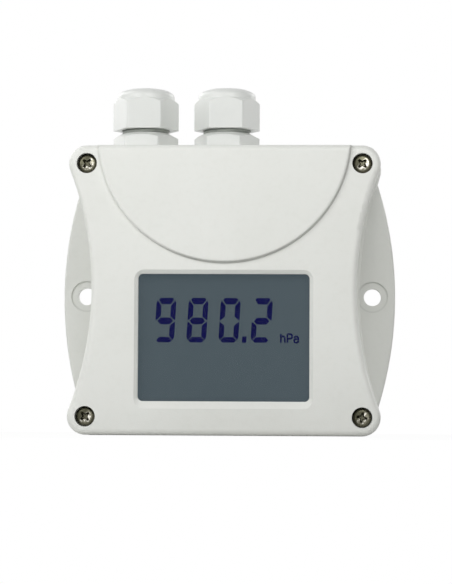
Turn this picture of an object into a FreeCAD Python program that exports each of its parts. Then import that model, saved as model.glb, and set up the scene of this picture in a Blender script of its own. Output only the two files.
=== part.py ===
import FreeCAD, Part
import math
import os

from FreeCAD import Vector

# Barometric pressure transmitter in a two-part moulded case, made for a wall.
# X runs right, Y into the wall and Z up. The origin lies on the wall, midway between the wall holes.
# Sizes are millimetres. A depth is measured from the wall towards the front, so it lies at Y = -depth.

# Case outline and walls
CASE_WIDTH = 79.2
CASE_HEIGHT = 73.5
CORNER_RADIUS = 4.65
WAIST_INSET = 6.0
COVER_DEPTH = 17.9
WALL = 2.4
FLOOR = 2.2
FRONT_WALL = 2.2
FRONT_ROUND = 1.5
RIM_STEP = 0.25
SIDE_WIDEN = 0.3
SIDE_FLARE = 0.45
RIM_ROUND = 0.2
RIM_LIP = 1.0
SEAL_THICKNESS = 0.8
SEAL_CLEARANCE = 0.1

# Wings with the wall holes
WING_SPAN = 89.0
WING_RADIUS = 100.0
WING_THICKNESS = 3.0
WING_ROUND = 0.6
WING_INTO_CORNER = 2.0
WALL_HOLE_INSET = 6.1
WALL_HOLE_RADIUS = 2.3
WALL_RING_RADIUS = 4.15
WALL_RING_DEPTH = 0.5

# Raised upper panel of the cover
PANEL_RISE = 1.1
PANEL_ROUND = 0.8
PANEL_CENTRE_ABOVE_CASE = 2.3
PANEL_TO_WINDOW = 1.75
PANEL_TO_WELL = 0.75

# Display window: its rim on the front face and the bevel down to the pane
WINDOW_SIDE_LAND = 11.0
WINDOW_FOOT_LAND = 6.7
WINDOW_RIM_HEIGHT = 35.1
WINDOW_RIM_RADIUS = 2.5
WINDOW_RADIUS = 1.2
BEVEL_SIDE = 0.9
BEVEL_TOP = 1.0
BEVEL_FOOT = 1.85
BEVEL_DEPTH = 0.8

# Cover screws, their wells and posts
WELL_RADIUS = 2.6
WELL_DEPTH = 2.7
POST_WALL = 1.0
SCREW_HEAD_RADIUS = 2.45
SCREW_HEAD_HEIGHT = 1.9
SCREW_HEAD_ROUND = 0.9
SCREW_RADIUS = 1.45
SCREW_LENGTH = 26.0
SCREW_HOLE_CLEARANCE = 0.15
SCREW_TIP_CLEARANCE = 1.0
THREAD_CLEARANCE = 0.05
CROSS_REACH = 1.36
CROSS_TIP_WIDTH = 0.5
CROSS_VALLEY = 0.98
CROSS_DEPTH = 1.3
CROSS_TAPER = 0.45
# Where each screw was left, in degrees: top left, top right, bottom left, bottom right
CROSS_TURNS = (57.0, 45.0, 41.0, -12.0)

# Display stack behind the window
WINDOW_LAP = 1.9
PANE_CLEARANCE = 0.1
PANE_FLANGE = 1.2
LCD_FRONT_GLASS = 1.2
LCD_REAR_GLASS = 1.6
LCD_LEDGE = 2.4
STRIP_WIDTH = 1.9
STRIP_INSET = 1.5
STRIP_LENGTH_CLEARANCE = 0.2
DISPLAY_GAP = 1.8
FRAME_WALL = 1.6
FRAME_CLEARANCE = 0.15
FRAME_CORNER = 0.4
DISPLAY_BOSS_RADIUS = 2.2
DISPLAY_BOSS_GAP = 0.4
DISPLAY_BOSS_INSET = 5.65
BOARD_THICKNESS = 1.6
BOARD_CORNER = 1.5
DISPLAY_EDGE = 1.0
SMALL_SCREW_RADIUS = 1.0
SMALL_SCREW_REACH = 4.2
SMALL_HEAD_RADIUS = 1.9
SMALL_HEAD_HEIGHT = 1.3
SMALL_HEAD_CHAMFER = 0.5
SMALL_HOLE_CLEARANCE = 0.15
SMALL_HOLE_SPARE = 0.6

# Main board and what stands on it
STANDOFF_HEIGHT = 4.0
STANDOFF_RADIUS = 2.6
STANDOFF_INSET = 3.5
MAIN_BOARD_SIDE_GAP = 2.2
MAIN_BOARD_FOOT_GAP = 4.35
MAIN_BOARD_TOP_GAP = 3.8
TERMINAL_POLES = 5
TERMINAL_PITCH = 5.08
TERMINAL_LEFT_INSET = 8.5
TERMINAL_TOP_INSET = 2.0
TERMINAL_DEEP = 8.2
TERMINAL_TALL = 10.0
POCKET_WIDTH = 3.8
POCKET_TALL = 4.6
POCKET_DEEP = 5.6
POCKET_FLOOR = 1.2
CLAMP_CLEARANCE = 0.1
CLAMP_WALL = 0.55
CLAMP_DEEP = 4.6
TERMINAL_SCREW_RADIUS = 1.5
TERMINAL_SCREW_SINK = 0.7
TERMINAL_SLOT = 0.6
SENSOR_BASE = 12.0
SENSOR_BASE_THICKNESS = 2.0
SENSOR_CAN_RADIUS = 4.6
SENSOR_CAN_HEIGHT = 4.0
SENSOR_PORT_RADIUS = 1.7
SENSOR_PORT_HEIGHT = 2.6
SENSOR_PORT_BORE = 0.7
SENSOR_RIGHT_INSET = 14.0
SENSOR_FOOT_INSET = 14.0
CHIP_SIZE = 10.0
CHIP_THICKNESS = 1.4
CHIP_STAND = 0.1
CHIP_LEADS = 9
CHIP_LEAD_PITCH = 0.8
CHIP_LEAD_WIDTH = 0.35
CHIP_LEAD_REACH = 1.0
CHIP_LEAD_THICKNESS = 0.7
CHIP_CHAMFER = 0.25
CHIP_LEFT_INSET = 18.0
CHIP_FOOT_INSET = 22.0
CAPACITOR_RADIUS = 4.0
CAPACITOR_HEIGHT = 11.0
CAPACITOR_CHAMFER = 0.5
CAPACITOR_GROOVE_DEPTH = 0.35
CAPACITOR_GROOVE_WIDTH = 0.7
CAPACITOR_GROOVE_HEIGHT = 1.3
CAPACITOR_LEFT_INSET = 8.0
CAPACITOR_FOOT_INSET = 12.0
LINK_PINS = 8
LINK_PITCH = 2.54
LINK_WIDTH = 2.5
LINK_HEADER_HEIGHT = 2.5
LINK_SOCKET_HEIGHT = 8.5
LINK_PIN = 0.64
LINK_PIN_CLEARANCE = 0.1
LINK_PIN_INSERT = 4.5
LINK_PIN_TAIL = 1.0
LINK_RIGHT_INSET = 14.0
LINK_TOP_INSET = 4.0

# Cable glands: heights are measured from the outside of the case's top wall
GLAND_FLATS = 15.3
GLAND_HEX_ROUND = 0.7
GLAND_BACK_GAP = 3.35
GLAND_RIM_GAP = 1.85
GLAND_TO_POST = 0.42
GLAND_TO_GLAND = 3.93
GLAND_WASHER = 0.8
GLAND_WASHER_INSET = 0.2
GLAND_FLANGE = 5.0
GLAND_BODY_TURN = -5.0
HEX_CHAMFER_DEG = 30.0
FLANGE_CHAMFER_DEG = 28.0
SHANK_RADIUS = 6.0
SHANK_LENGTH = 8.0
SHANK_CLEARANCE = 0.1
LOCKNUT_THICKNESS = 4.5
PASSAGE_RADIUS = 3.6
NECK_RADIUS = 6.3
NECK_HEIGHT = 5.4
NECK_WALL = 1.3
NECK_CHAMFER = 0.4
THREAD_HEIGHT = 0.45
SEAT_HEIGHT = 3.0
NUT_GAP = 0.95
NUT_HEIGHT = 10.9
NUT_HEX_HEIGHT = 7.0
NUT_THREAD_CLEARANCE = 0.08
NUT_SHOULDER_DEG = 42.0
DOME_INSET = 0.05
DOME_BAND = 0.75
DOME_TOP_LAND = 0.4
DOME_ROUND = 1.3
NUT_ROOF = 2.0
CLAW_CLEARANCE = 0.1
CLAW_WALL = 0.6
CLAW_LIFT = 0.7
CLAW_CONE_HEIGHT = 2.0
CLAW_CONE_TAPER = 0.8
CLAW_TIP_GAP = 0.3
CLAW_SLOTS = 8
CLAW_SLOT_WIDTH = 0.7
CLAW_RING_HEIGHT = 4.8
SEAL_BORE_RADIUS = 3.1
SEAL_FOOT_INSET = 0.2
SEAL_TOP_INSET = 1.6
SEAL_LIP = 0.4

# Places that follow from the sizes above
half_height = CASE_HEIGHT / 2
screw_x = CASE_WIDTH / 2 - CORNER_RADIUS
screw_z = half_height - CORNER_RADIUS
screw_places = [(side * screw_x, level * screw_z) for level in (1, -1) for side in (-1, 1)]
waist = CASE_WIDTH / 2 - WAIST_INSET
post_radius = WELL_RADIUS + POST_WALL

gland_corner = GLAND_FLATS / math.sqrt(3)
gland_depth = GLAND_BACK_GAP + GLAND_FLATS / 2
shank_foot = GLAND_WASHER - SHANK_LENGTH
rear_depth = gland_depth + GLAND_FLATS / 2 + GLAND_RIM_GAP
face_depth = rear_depth + COVER_DEPTH
panel_depth = face_depth + PANEL_RISE
inner_face_depth = face_depth - FRONT_WALL
seal_depth = rear_depth - SEAL_THICKNESS
case_top = half_height + RIM_STEP
left_gland_x = post_radius - screw_x + gland_corner + GLAND_TO_POST
right_gland_x = left_gland_x + 2 * gland_corner + GLAND_TO_GLAND

rim_half_width = waist - WINDOW_SIDE_LAND
rim_foot = WINDOW_FOOT_LAND - half_height
rim_top = rim_foot + WINDOW_RIM_HEIGHT
rim_z = (rim_foot + rim_top) / 2
window_width = 2 * (rim_half_width - BEVEL_SIDE)
window_height = WINDOW_RIM_HEIGHT - BEVEL_TOP - BEVEL_FOOT
window_z = rim_foot + BEVEL_FOOT + window_height / 2
pane_depth = face_depth - BEVEL_DEPTH
cell_width = window_width + 2 * WINDOW_LAP
cell_height = window_height + 2 * WINDOW_LAP
cell_depth = inner_face_depth - PANE_FLANGE - PANE_CLEARANCE
rear_glass_depth = cell_depth - LCD_FRONT_GLASS
display_depth = rear_glass_depth - LCD_REAR_GLASS - DISPLAY_GAP
frame_half_width = cell_width / 2 + FRAME_CLEARANCE + FRAME_WALL
frame_half_height = cell_height / 2 + FRAME_CLEARANCE + FRAME_WALL
display_boss_x = frame_half_width + DISPLAY_BOSS_GAP + DISPLAY_BOSS_RADIUS
display_half_width = display_boss_x + DISPLAY_BOSS_RADIUS
display_half_height = frame_half_height + DISPLAY_EDGE
display_boss_z = display_half_height - DISPLAY_BOSS_INSET
display_places = [
    (side * display_boss_x, window_z + level * display_boss_z) for level in (1, -1) for side in (-1, 1)
]

panel_z = half_height + PANEL_CENTRE_ABOVE_CASE
panel_to_wells = math.hypot(screw_x, panel_z - screw_z) - WELL_RADIUS - PANEL_TO_WELL
panel_radius = min(panel_z - rim_top - PANEL_TO_WINDOW, panel_to_wells)

main_depth = FLOOR + STANDOFF_HEIGHT
main_front = main_depth + BOARD_THICKNESS
main_half_width = waist - WALL - MAIN_BOARD_SIDE_GAP
main_foot = MAIN_BOARD_FOOT_GAP + WALL - half_height
main_top = case_top + shank_foot - MAIN_BOARD_TOP_GAP
standoff_x = main_half_width - STANDOFF_INSET
standoff_levels = (main_top - STANDOFF_INSET, main_foot + STANDOFF_INSET)
standoff_places = [(side * standoff_x, z) for z in standoff_levels for side in (-1, 1)]
terminal_left = TERMINAL_LEFT_INSET - main_half_width
terminal_top = main_top - TERMINAL_TOP_INSET
terminal_length = TERMINAL_POLES * TERMINAL_PITCH
pole_places = [terminal_left + (n + 0.5) * TERMINAL_PITCH for n in range(TERMINAL_POLES)]
pocket_depth = main_front + POCKET_FLOOR
clamp_top = pocket_depth + POCKET_TALL - CLAMP_CLEARANCE
link_x = main_half_width - LINK_RIGHT_INSET
link_z = window_z + display_half_height - LINK_TOP_INSET
link_length = LINK_PINS * LINK_PITCH
pin_places = [link_x + (n + 0.5) * LINK_PITCH - link_length / 2 for n in range(LINK_PINS)]
display_back = display_depth - BOARD_THICKNESS
socket_mouth = display_back - LINK_SOCKET_HEIGHT

flange_top = GLAND_WASHER + GLAND_FLANGE
neck_top = flange_top + NECK_HEIGHT
neck_bore = NECK_RADIUS - NECK_WALL
neck_root = NECK_RADIUS - THREAD_HEIGHT
nut_foot = flange_top + NUT_GAP
nut_top = nut_foot + NUT_HEIGHT
claw_outer = neck_bore - CLAW_CLEARANCE
claw_inner = claw_outer - CLAW_WALL
claw_foot = SEAT_HEIGHT + CLAW_LIFT
claw_tip = nut_top - NUT_ROOF - CLAW_TIP_GAP
claw_shoulder = claw_tip - CLAW_CONE_HEIGHT

FORWARD = Vector(0, -1, 0)
UP = Vector(0, 0, 1)
EPSILON = 1e-3


def point(x, depth, z):
    """Point at a place on the front view and a depth from the wall."""
    return Vector(x, -depth, z)


def forward_solid(wire, length):
    """Solid made by pushing a closed outline straight forward."""
    return Part.Face(wire).extrude(FORWARD * length)


def rod(radius, place, start, end):
    """Cylinder along the depth, at an (x, z) place, between two depths."""
    return Part.makeCylinder(radius, end - start, point(place[0], start, place[1]), FORWARD)


def block(left, right, start, end, foot, top):
    """Box between two x places, two depths and two heights."""
    return Part.makeBox(right - left, end - start, top - foot, point(left, end, foot))


def edges_at_depth(shape, depth):
    """Edges that lie wholly in the plane at a depth."""
    found = []
    for edge in shape.Edges:
        box = edge.BoundBox
        if abs(box.YMin + depth) < EPSILON and abs(box.YMax + depth) < EPSILON:
            found.append(edge)
    return found


def closed_wire(start, *steps):
    """Closed outline from a start point: a step is a point for a line, or a pair (middle, end) for an arc."""
    edges = []
    here = start
    for step in (*steps, start):
        if isinstance(step, tuple):
            edges.append(Part.Arc(here, *step).toShape())
            here = step[1]
        elif here.distanceToPoint(step) > EPSILON:
            edges.append(Part.LineSegment(here, step).toShape())
            here = step
    return Part.Wire(edges)


def waisted_outline(offset, depth, widen=0.0, flare=0.0):
    """Case outline, or one parallel to it: straight top and foot, screw corners and sides that curve in.

    Widening moves both sides outwards, and a flare moves the waist further and leaves the corners in place.
    """
    radius = CORNER_RADIUS + offset
    centre = screw_x + widen
    top = screw_z + radius
    narrow = waist + offset + widen + flare
    reach = narrow - centre
    side_radius = (reach**2 + screw_z**2 - radius**2) / (2 * (radius - reach))
    lean = math.atan2(screw_z, reach + side_radius)
    bend = (math.pi / 2 - lean) / 2 + lean

    def corner(side, level, angle):
        """Point on the corner arc of one screw, by its angle above the middle line."""
        return point(
            side * (centre + radius * math.cos(angle)), depth, level * (screw_z + radius * math.sin(angle))
        )

    def side_steps(side, level):
        """One side: a corner arc, the inward curve and the other corner arc."""
        return (
            (corner(side, level, math.pi / 2 - bend), corner(side, level, -lean)),
            (point(side * narrow, depth, 0), corner(side, -level, -lean)),
            (corner(side, -level, math.pi / 2 - bend), point(side * centre, depth, -level * top)),
        )

    return closed_wire(
        point(-centre, depth, top),
        point(centre, depth, top),
        *side_steps(1, 1),
        point(-centre, depth, -top),
        *side_steps(-1, -1),
    )


def rounded_rectangle(width, height, radius, z, depth):
    """Upright rounded rectangle on the middle line, facing the front."""
    x, h = width / 2, height / 2
    inset = radius * (1 - math.sqrt(0.5))

    def rounding(side, level, along_first):
        """Middle and end of one corner arc, in the order that the outline is walked."""
        middle = point(side * (x - inset), depth, z + level * (h - inset))
        upright_end = point(side * x, depth, z + level * (h - radius))
        level_end = point(side * (x - radius), depth, z + level * h)
        return middle, upright_end if along_first else level_end

    return closed_wire(
        point(radius - x, depth, z + h),
        point(x - radius, depth, z + h),
        rounding(1, 1, True),
        point(x, depth, z + radius - h),
        rounding(1, -1, False),
        point(radius - x, depth, z - h),
        rounding(-1, -1, True),
        point(-x, depth, z + h - radius),
        rounding(-1, 1, False),
    )


def cavity(start, end):
    """Space inside the walls between two depths, clear of the four screw posts."""
    space = forward_solid(waisted_outline(-WALL, start), end - start)
    return space.cut([rod(post_radius, place, start, end) for place in screw_places])


def turned(start, *steps):
    """Ring turned about the gland axis: points are (radius, height), and a pair of points is an arc."""

    def lift(step):
        """The same point or pair in the plane of the section."""
        if isinstance(step[0], tuple):
            return tuple(lift(p) for p in step)
        return Vector(step[0], 0, step[1])

    face = Part.Face(closed_wire(lift(start), *(lift(step) for step in steps)))
    return face.revolve(Vector(0, 0, 0), UP, 360)


def hexagon(flats, foot, top, rounding):
    """Upright hexagon with flats to the front and back, its long edges rounded."""
    corner = flats / math.sqrt(3)
    angles = [math.radians(60 * n) for n in range(6)]
    corners = [Vector(corner * math.cos(a), corner * math.sin(a), foot) for a in angles]
    prism = Part.Face(Part.makePolygon([*corners, corners[0]])).extrude(UP * (top - foot))
    upright = [edge for edge in prism.Edges if edge.BoundBox.ZLength > EPSILON]
    return prism.makeFillet(rounding, upright)


def chamfer_drop(inner, slope_deg):
    """Height between the inner radius of a turned chamfer and the corners of the gland's hexagon."""
    return (gland_corner - inner) * math.tan(math.radians(slope_deg))


def cross_recess(turn_deg, depth):
    """Four-armed pocket that narrows as it sinks into a screw head whose crown lies at a depth."""
    half = CROSS_TIP_WIDTH / 2
    valley = CROSS_VALLEY / math.sqrt(2)

    def star(level, scale):
        """Outline of the pocket at one depth: two corners at each arm's tip and one between the arms."""
        corners = []
        for arm in range(4):
            angle = math.radians(turn_deg + 90 * arm)
            along, across = scale * math.cos(angle), scale * math.sin(angle)
            for u, v in ((CROSS_REACH, -half), (CROSS_REACH, half), (valley, valley)):
                corners.append(point(u * along - v * across, level, u * across + v * along))
        return Part.makePolygon([*corners, corners[0]])

    return Part.makeLoft([star(depth, 1), star(depth - CROSS_DEPTH, CROSS_TAPER)], True, True)


def headed_screw(head, radius, length, seat):
    """Screw along the depth on the middle line: a head in front of a seat depth, a plain shank behind it."""
    return head.fuse(rod(radius, (0, 0), seat - length, seat)).removeSplitter()


def placed(shape, place):
    """Copy of a shape moved to an (x, z) place on the front view."""
    return shape.translated(point(place[0], 0, place[1]))


def wing_plate():
    """Back plate with bowed outer edges, and a hole with a sunk ring in each wing."""
    reach = WING_SPAN / 2
    height = screw_z + WING_INTO_CORNER
    end_x = reach - WING_RADIUS + math.sqrt(WING_RADIUS**2 - height**2)
    outline = closed_wire(
        point(-end_x, 0, height),
        point(end_x, 0, height),
        (point(reach, 0, 0), point(end_x, 0, -height)),
        point(-end_x, 0, -height),
        (point(-reach, 0, 0), point(-end_x, 0, height)),
    )
    plate = forward_solid(outline, WING_THICKNESS)
    outer = [edge for edge in edges_at_depth(plate, WING_THICKNESS) if edge.BoundBox.ZLength > EPSILON]
    plate = plate.makeFillet(WING_ROUND, outer)
    cuts = []
    for side in (-1, 1):
        hole = (side * wall_hole_x(), 0)
        cuts.append(rod(WALL_HOLE_RADIUS, hole, 0, WING_THICKNESS))
        cuts.append(rod(WALL_RING_RADIUS, hole, WING_THICKNESS - WALL_RING_DEPTH, WING_THICKNESS))
    return plate.cut(cuts)


def rear_housing():
    """Deep rear half: wings, walls, screw posts, board standoffs and the two gland holes."""
    shell = forward_solid(waisted_outline(RIM_STEP, 0, SIDE_WIDEN, SIDE_FLARE), rear_depth)
    shell = shell.makeFillet(RIM_ROUND, edges_at_depth(shell, rear_depth))
    shell = shell.fuse(wing_plate()).cut(cavity(FLOOR, rear_depth))
    shell = shell.cut(forward_solid(waisted_outline(-RIM_LIP, seal_depth), SEAL_THICKNESS))
    shell = shell.fuse([rod(STANDOFF_RADIUS, place, FLOOR, main_depth) for place in standoff_places])

    hole_end = screw_seat() - SCREW_LENGTH - SCREW_TIP_CLEARANCE
    cuts = [rod(SCREW_RADIUS + THREAD_CLEARANCE, place, hole_end, rear_depth) for place in screw_places]
    pilot = SMALL_SCREW_RADIUS + THREAD_CLEARANCE
    pilot_end = main_front - SMALL_SCREW_REACH - SMALL_HOLE_SPARE
    cuts += [rod(pilot, place, pilot_end, main_depth) for place in standoff_places]
    for x in (left_gland_x, right_gland_x):
        foot = point(x, gland_depth, half_height - WALL)
        cuts.append(Part.makeCylinder(SHANK_RADIUS + SHANK_CLEARANCE, WALL + RIM_STEP, foot, UP))
    return shell.cut(cuts).removeSplitter()


def wall_hole_x():
    """Distance of each wall hole from the middle line."""
    return WING_SPAN / 2 - WALL_HOLE_INSET


def screw_seat():
    """Depth of the shoulder that each cover screw's head sits on."""
    return face_depth - WELL_DEPTH


def cover_blank(front):
    """Solid cover from the parting plane to a front plane, with its front edge rounded."""
    blank = forward_solid(waisted_outline(0, rear_depth), front - rear_depth)
    return blank.makeFillet(FRONT_ROUND, edges_at_depth(blank, front))


def raised_panel():
    """Round-footed upper panel, cut from a cover that is higher by its rise."""
    disc = rod(panel_radius, (0, panel_z), inner_face_depth, panel_depth)
    disc = disc.makeFillet(PANEL_ROUND, edges_at_depth(disc, panel_depth))
    return cover_blank(panel_depth).common(disc)


def window_cut():
    """Bevelled recess from the rim on the front face to the pane, and the opening behind it."""
    rim = rounded_rectangle(2 * rim_half_width, WINDOW_RIM_HEIGHT, WINDOW_RIM_RADIUS, rim_z, face_depth)
    foot = rounded_rectangle(window_width, window_height, WINDOW_RADIUS, window_z, pane_depth)
    bevel = Part.makeLoft([rim, foot], True, True)
    opening = rounded_rectangle(window_width, window_height, WINDOW_RADIUS, window_z, inner_face_depth)
    return bevel.fuse(forward_solid(opening, pane_depth - inner_face_depth))


def front_cover():
    """Front half: waisted shell with the raised panel, the window, the screw wells and the display bosses."""
    shell = cover_blank(face_depth).fuse(raised_panel())
    shell = shell.cut(cavity(rear_depth, inner_face_depth))
    shell = shell.fuse(
        [rod(DISPLAY_BOSS_RADIUS, place, display_depth, inner_face_depth) for place in display_places]
    )
    cuts = [window_cut()]
    for place in screw_places:
        cuts.append(rod(WELL_RADIUS, place, screw_seat(), panel_depth))
        cuts.append(rod(SCREW_RADIUS + SCREW_HOLE_CLEARANCE, place, rear_depth, screw_seat()))
    pilot = SMALL_SCREW_RADIUS + THREAD_CLEARANCE
    pilot_end = display_back + SMALL_SCREW_REACH + SMALL_HOLE_SPARE
    cuts += [rod(pilot, place, display_depth, pilot_end) for place in display_places]
    return shell.cut(cuts).removeSplitter()


def cover_seal():
    """Flat seal in the rebate of the rear rim, pierced by the four cover screws."""
    ring = forward_solid(waisted_outline(-RIM_LIP - SEAL_CLEARANCE, seal_depth), SEAL_THICKNESS)
    hole = SCREW_RADIUS + SCREW_HOLE_CLEARANCE
    holes = [rod(hole, place, seal_depth, rear_depth) for place in screw_places]
    return ring.cut([cavity(seal_depth, rear_depth), *holes])


def cover_screws():
    """Four cross-head screws, each left at its own angle."""
    seat = screw_seat()
    crown = seat + SCREW_HEAD_HEIGHT
    head = rod(SCREW_HEAD_RADIUS, (0, 0), seat, crown)
    head = head.makeFillet(SCREW_HEAD_ROUND, edges_at_depth(head, crown))
    blank = headed_screw(head, SCREW_RADIUS, SCREW_LENGTH, seat)
    screws = [
        placed(blank.cut(cross_recess(turn, crown)), place)
        for turn, place in zip(CROSS_TURNS, screw_places, strict=True)
    ]
    return Part.makeCompound(screws)


def display_window():
    """Clear pane: a flange behind the cover and a boss that fills the opening."""
    back = inner_face_depth - PANE_FLANGE
    flange = rounded_rectangle(cell_width, cell_height, WINDOW_RADIUS, window_z, back)
    boss = rounded_rectangle(
        window_width - 2 * PANE_CLEARANCE,
        window_height - 2 * PANE_CLEARANCE,
        WINDOW_RADIUS - PANE_CLEARANCE,
        window_z,
        inner_face_depth,
    )
    pane = forward_solid(flange, PANE_FLANGE).fuse(forward_solid(boss, pane_depth - inner_face_depth))
    return pane.removeSplitter()


def lcd_glass():
    """Liquid crystal cell: a front glass whose contact ledges reach past the rear glass."""
    half, tall = cell_width / 2, cell_height / 2
    short = tall - LCD_LEDGE
    back = rear_glass_depth - LCD_REAR_GLASS
    front_glass = block(-half, half, rear_glass_depth, cell_depth, window_z - tall, window_z + tall)
    rear_glass = block(-half, half, back, rear_glass_depth, window_z - short, window_z + short)
    return front_glass.fuse(rear_glass).removeSplitter()


def contact_strips():
    """Two elastomer strips from the cell's ledges to the display board."""
    reach = cell_width / 2 - STRIP_INSET - STRIP_LENGTH_CLEARANCE
    slack = (LCD_LEDGE - STRIP_WIDTH) / 2
    strips = []
    for level in (1, -1):
        near = window_z + level * (cell_height / 2 - LCD_LEDGE + slack)
        far = near + level * STRIP_WIDTH
        strips.append(block(-reach, reach, display_depth, rear_glass_depth, min(near, far), max(near, far)))
    return Part.makeCompound(strips)


def lcd_frame():
    """Frame round the pane and the cell, from the cover's inner face to the display board."""
    outer = rounded_rectangle(
        2 * frame_half_width, 2 * frame_half_height, WINDOW_RADIUS + FRAME_WALL, window_z, display_depth
    )
    inner = rounded_rectangle(
        cell_width + 2 * FRAME_CLEARANCE,
        cell_height + 2 * FRAME_CLEARANCE,
        FRAME_CORNER,
        window_z,
        display_depth,
    )
    length = inner_face_depth - display_depth
    return forward_solid(outer, length).cut(forward_solid(inner, length))


def board(half_width, foot, top, start, holes):
    """Printed board between two heights, with rounded corners and round holes given as (place, radius)."""
    outline = rounded_rectangle(2 * half_width, top - foot, BOARD_CORNER, (foot + top) / 2, start)
    cuts = [rod(radius, place, start, start + BOARD_THICKNESS) for place, radius in holes]
    return forward_solid(outline, BOARD_THICKNESS).cut(cuts)


def display_board():
    """Board behind the cell, held to the cover's bosses."""
    radius = SMALL_SCREW_RADIUS + SMALL_HOLE_CLEARANCE
    holes = [(place, radius) for place in display_places]
    foot, top = window_z - display_half_height, window_z + display_half_height
    return board(display_half_width, foot, top, display_back, holes)


def main_board():
    """Board on the standoffs of the rear housing, drilled for its screws and the link pins."""
    radius = SMALL_SCREW_RADIUS + SMALL_HOLE_CLEARANCE
    holes = [(place, radius) for place in standoff_places]
    pin_hole = LINK_PIN / math.sqrt(2) + LINK_PIN_CLEARANCE
    holes += [((x, link_z), pin_hole) for x in pin_places]
    return board(main_half_width, main_foot, main_top, main_depth, holes)


def small_screw(seat):
    """Board screw on the middle line with its head in front of a seat depth."""
    crown = seat + SMALL_HEAD_HEIGHT
    head = rod(SMALL_HEAD_RADIUS, (0, 0), seat, crown)
    head = head.makeChamfer(SMALL_HEAD_CHAMFER, edges_at_depth(head, crown))
    return headed_screw(head, SMALL_SCREW_RADIUS, SMALL_SCREW_REACH, seat)


def board_screws():
    """Four screws that hold the main board, driven from the front."""
    blank = small_screw(main_front)
    return Part.makeCompound([placed(blank, place) for place in standoff_places])


def display_screws():
    """Four screws that hold the display board, driven from behind."""
    blank = small_screw(0)
    blank.rotate(Vector(0, 0, 0), UP, 180)
    blank.translate(point(0, display_back, 0))
    return Part.makeCompound([placed(blank, place) for place in display_places])


def terminal_block():
    """Terminal housing: for each wire a square pocket from above and a round screw way from the front."""
    front = main_front + TERMINAL_TALL
    right, foot = terminal_left + terminal_length, terminal_top - TERMINAL_DEEP
    body = block(terminal_left, right, main_front, front, foot, terminal_top)
    cuts = []
    for x in pole_places:
        cuts.append(
            block(
                x - POCKET_WIDTH / 2,
                x + POCKET_WIDTH / 2,
                pocket_depth,
                pocket_depth + POCKET_TALL,
                terminal_top - POCKET_DEEP,
                terminal_top,
            )
        )
        way = (x, terminal_top - POCKET_DEEP / 2)
        cuts.append(rod(TERMINAL_SCREW_RADIUS + CLAMP_CLEARANCE, way, pocket_depth + POCKET_TALL, front))
    return body.cut(cuts)


def terminal_clamps():
    """Square sleeves in the pockets that grip the wires."""
    half = POCKET_WIDTH / 2 - CLAMP_CLEARANCE
    foot = terminal_top - POCKET_DEEP + CLAMP_CLEARANCE
    clamps = []
    for x in pole_places:
        sleeve = block(x - half, x + half, pocket_depth, clamp_top, foot, foot + CLAMP_DEEP)
        bore = block(
            x - half + CLAMP_WALL,
            x + half - CLAMP_WALL,
            pocket_depth + CLAMP_WALL,
            clamp_top - CLAMP_WALL,
            foot,
            foot + CLAMP_DEEP,
        )
        clamps.append(sleeve.cut(bore))
    return Part.makeCompound(clamps)


def terminal_screws():
    """Slotted screws above the clamps."""
    crown = main_front + TERMINAL_TALL - TERMINAL_SCREW_SINK
    screws = []
    for x in pole_places:
        place = (x, terminal_top - POCKET_DEEP / 2)
        slot = block(
            x - TERMINAL_SCREW_RADIUS,
            x + TERMINAL_SCREW_RADIUS,
            crown - TERMINAL_SLOT,
            crown,
            place[1] - TERMINAL_SLOT / 2,
            place[1] + TERMINAL_SLOT / 2,
        )
        screws.append(rod(TERMINAL_SCREW_RADIUS, place, clamp_top, crown).cut(slot))
    return Part.makeCompound(screws)


def pressure_sensor():
    """Barometric cell: a square carrier, a round can and a bored port."""
    x = main_half_width - SENSOR_RIGHT_INSET
    z = main_foot + SENSOR_FOOT_INSET
    half = SENSOR_BASE / 2
    can_start = main_front + SENSOR_BASE_THICKNESS
    can_end = can_start + SENSOR_CAN_HEIGHT
    port_end = can_end + SENSOR_PORT_HEIGHT
    carrier = block(x - half, x + half, main_front, can_start, z - half, z + half)
    can = rod(SENSOR_CAN_RADIUS, (x, z), can_start, can_end)
    port = rod(SENSOR_PORT_RADIUS, (x, z), can_end, port_end)
    bore = rod(SENSOR_PORT_BORE, (x, z), can_start, port_end)
    return carrier.fuse([can, port]).cut(bore)


def processor_chip():
    """Flat chip with a row of leads along each side."""
    half = CHIP_SIZE / 2
    foot = main_front + CHIP_STAND
    body = block(-half, half, foot, foot + CHIP_THICKNESS, -half, half)
    body = body.makeChamfer(CHIP_CHAMFER, edges_at_depth(body, foot + CHIP_THICKNESS))
    leads = []
    for quarter in range(4):
        for n in range(CHIP_LEADS):
            middle = (n - (CHIP_LEADS - 1) / 2) * CHIP_LEAD_PITCH
            lead = block(
                half,
                half + CHIP_LEAD_REACH,
                main_front,
                main_front + CHIP_LEAD_THICKNESS,
                middle - CHIP_LEAD_WIDTH / 2,
                middle + CHIP_LEAD_WIDTH / 2,
            )
            lead.rotate(Vector(0, 0, 0), FORWARD, 90 * quarter)
            leads.append(lead)
    return placed(body.fuse(leads), (CHIP_LEFT_INSET - main_half_width, main_foot + CHIP_FOOT_INSET))


def storage_capacitor():
    """Round can with a crimped groove near its foot and a chamfered end."""
    place = (CAPACITOR_LEFT_INSET - main_half_width, main_foot + CAPACITOR_FOOT_INSET)
    end = main_front + CAPACITOR_HEIGHT
    can = rod(CAPACITOR_RADIUS, place, main_front, end)
    can = can.makeChamfer(CAPACITOR_CHAMFER, edges_at_depth(can, end))
    groove = main_front + CAPACITOR_GROOVE_HEIGHT
    ring = rod(CAPACITOR_RADIUS, place, groove, groove + CAPACITOR_GROOVE_WIDTH)
    core = rod(CAPACITOR_RADIUS - CAPACITOR_GROOVE_DEPTH, place, groove, groove + CAPACITOR_GROOVE_WIDTH)
    return can.cut(ring.cut(core))


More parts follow.
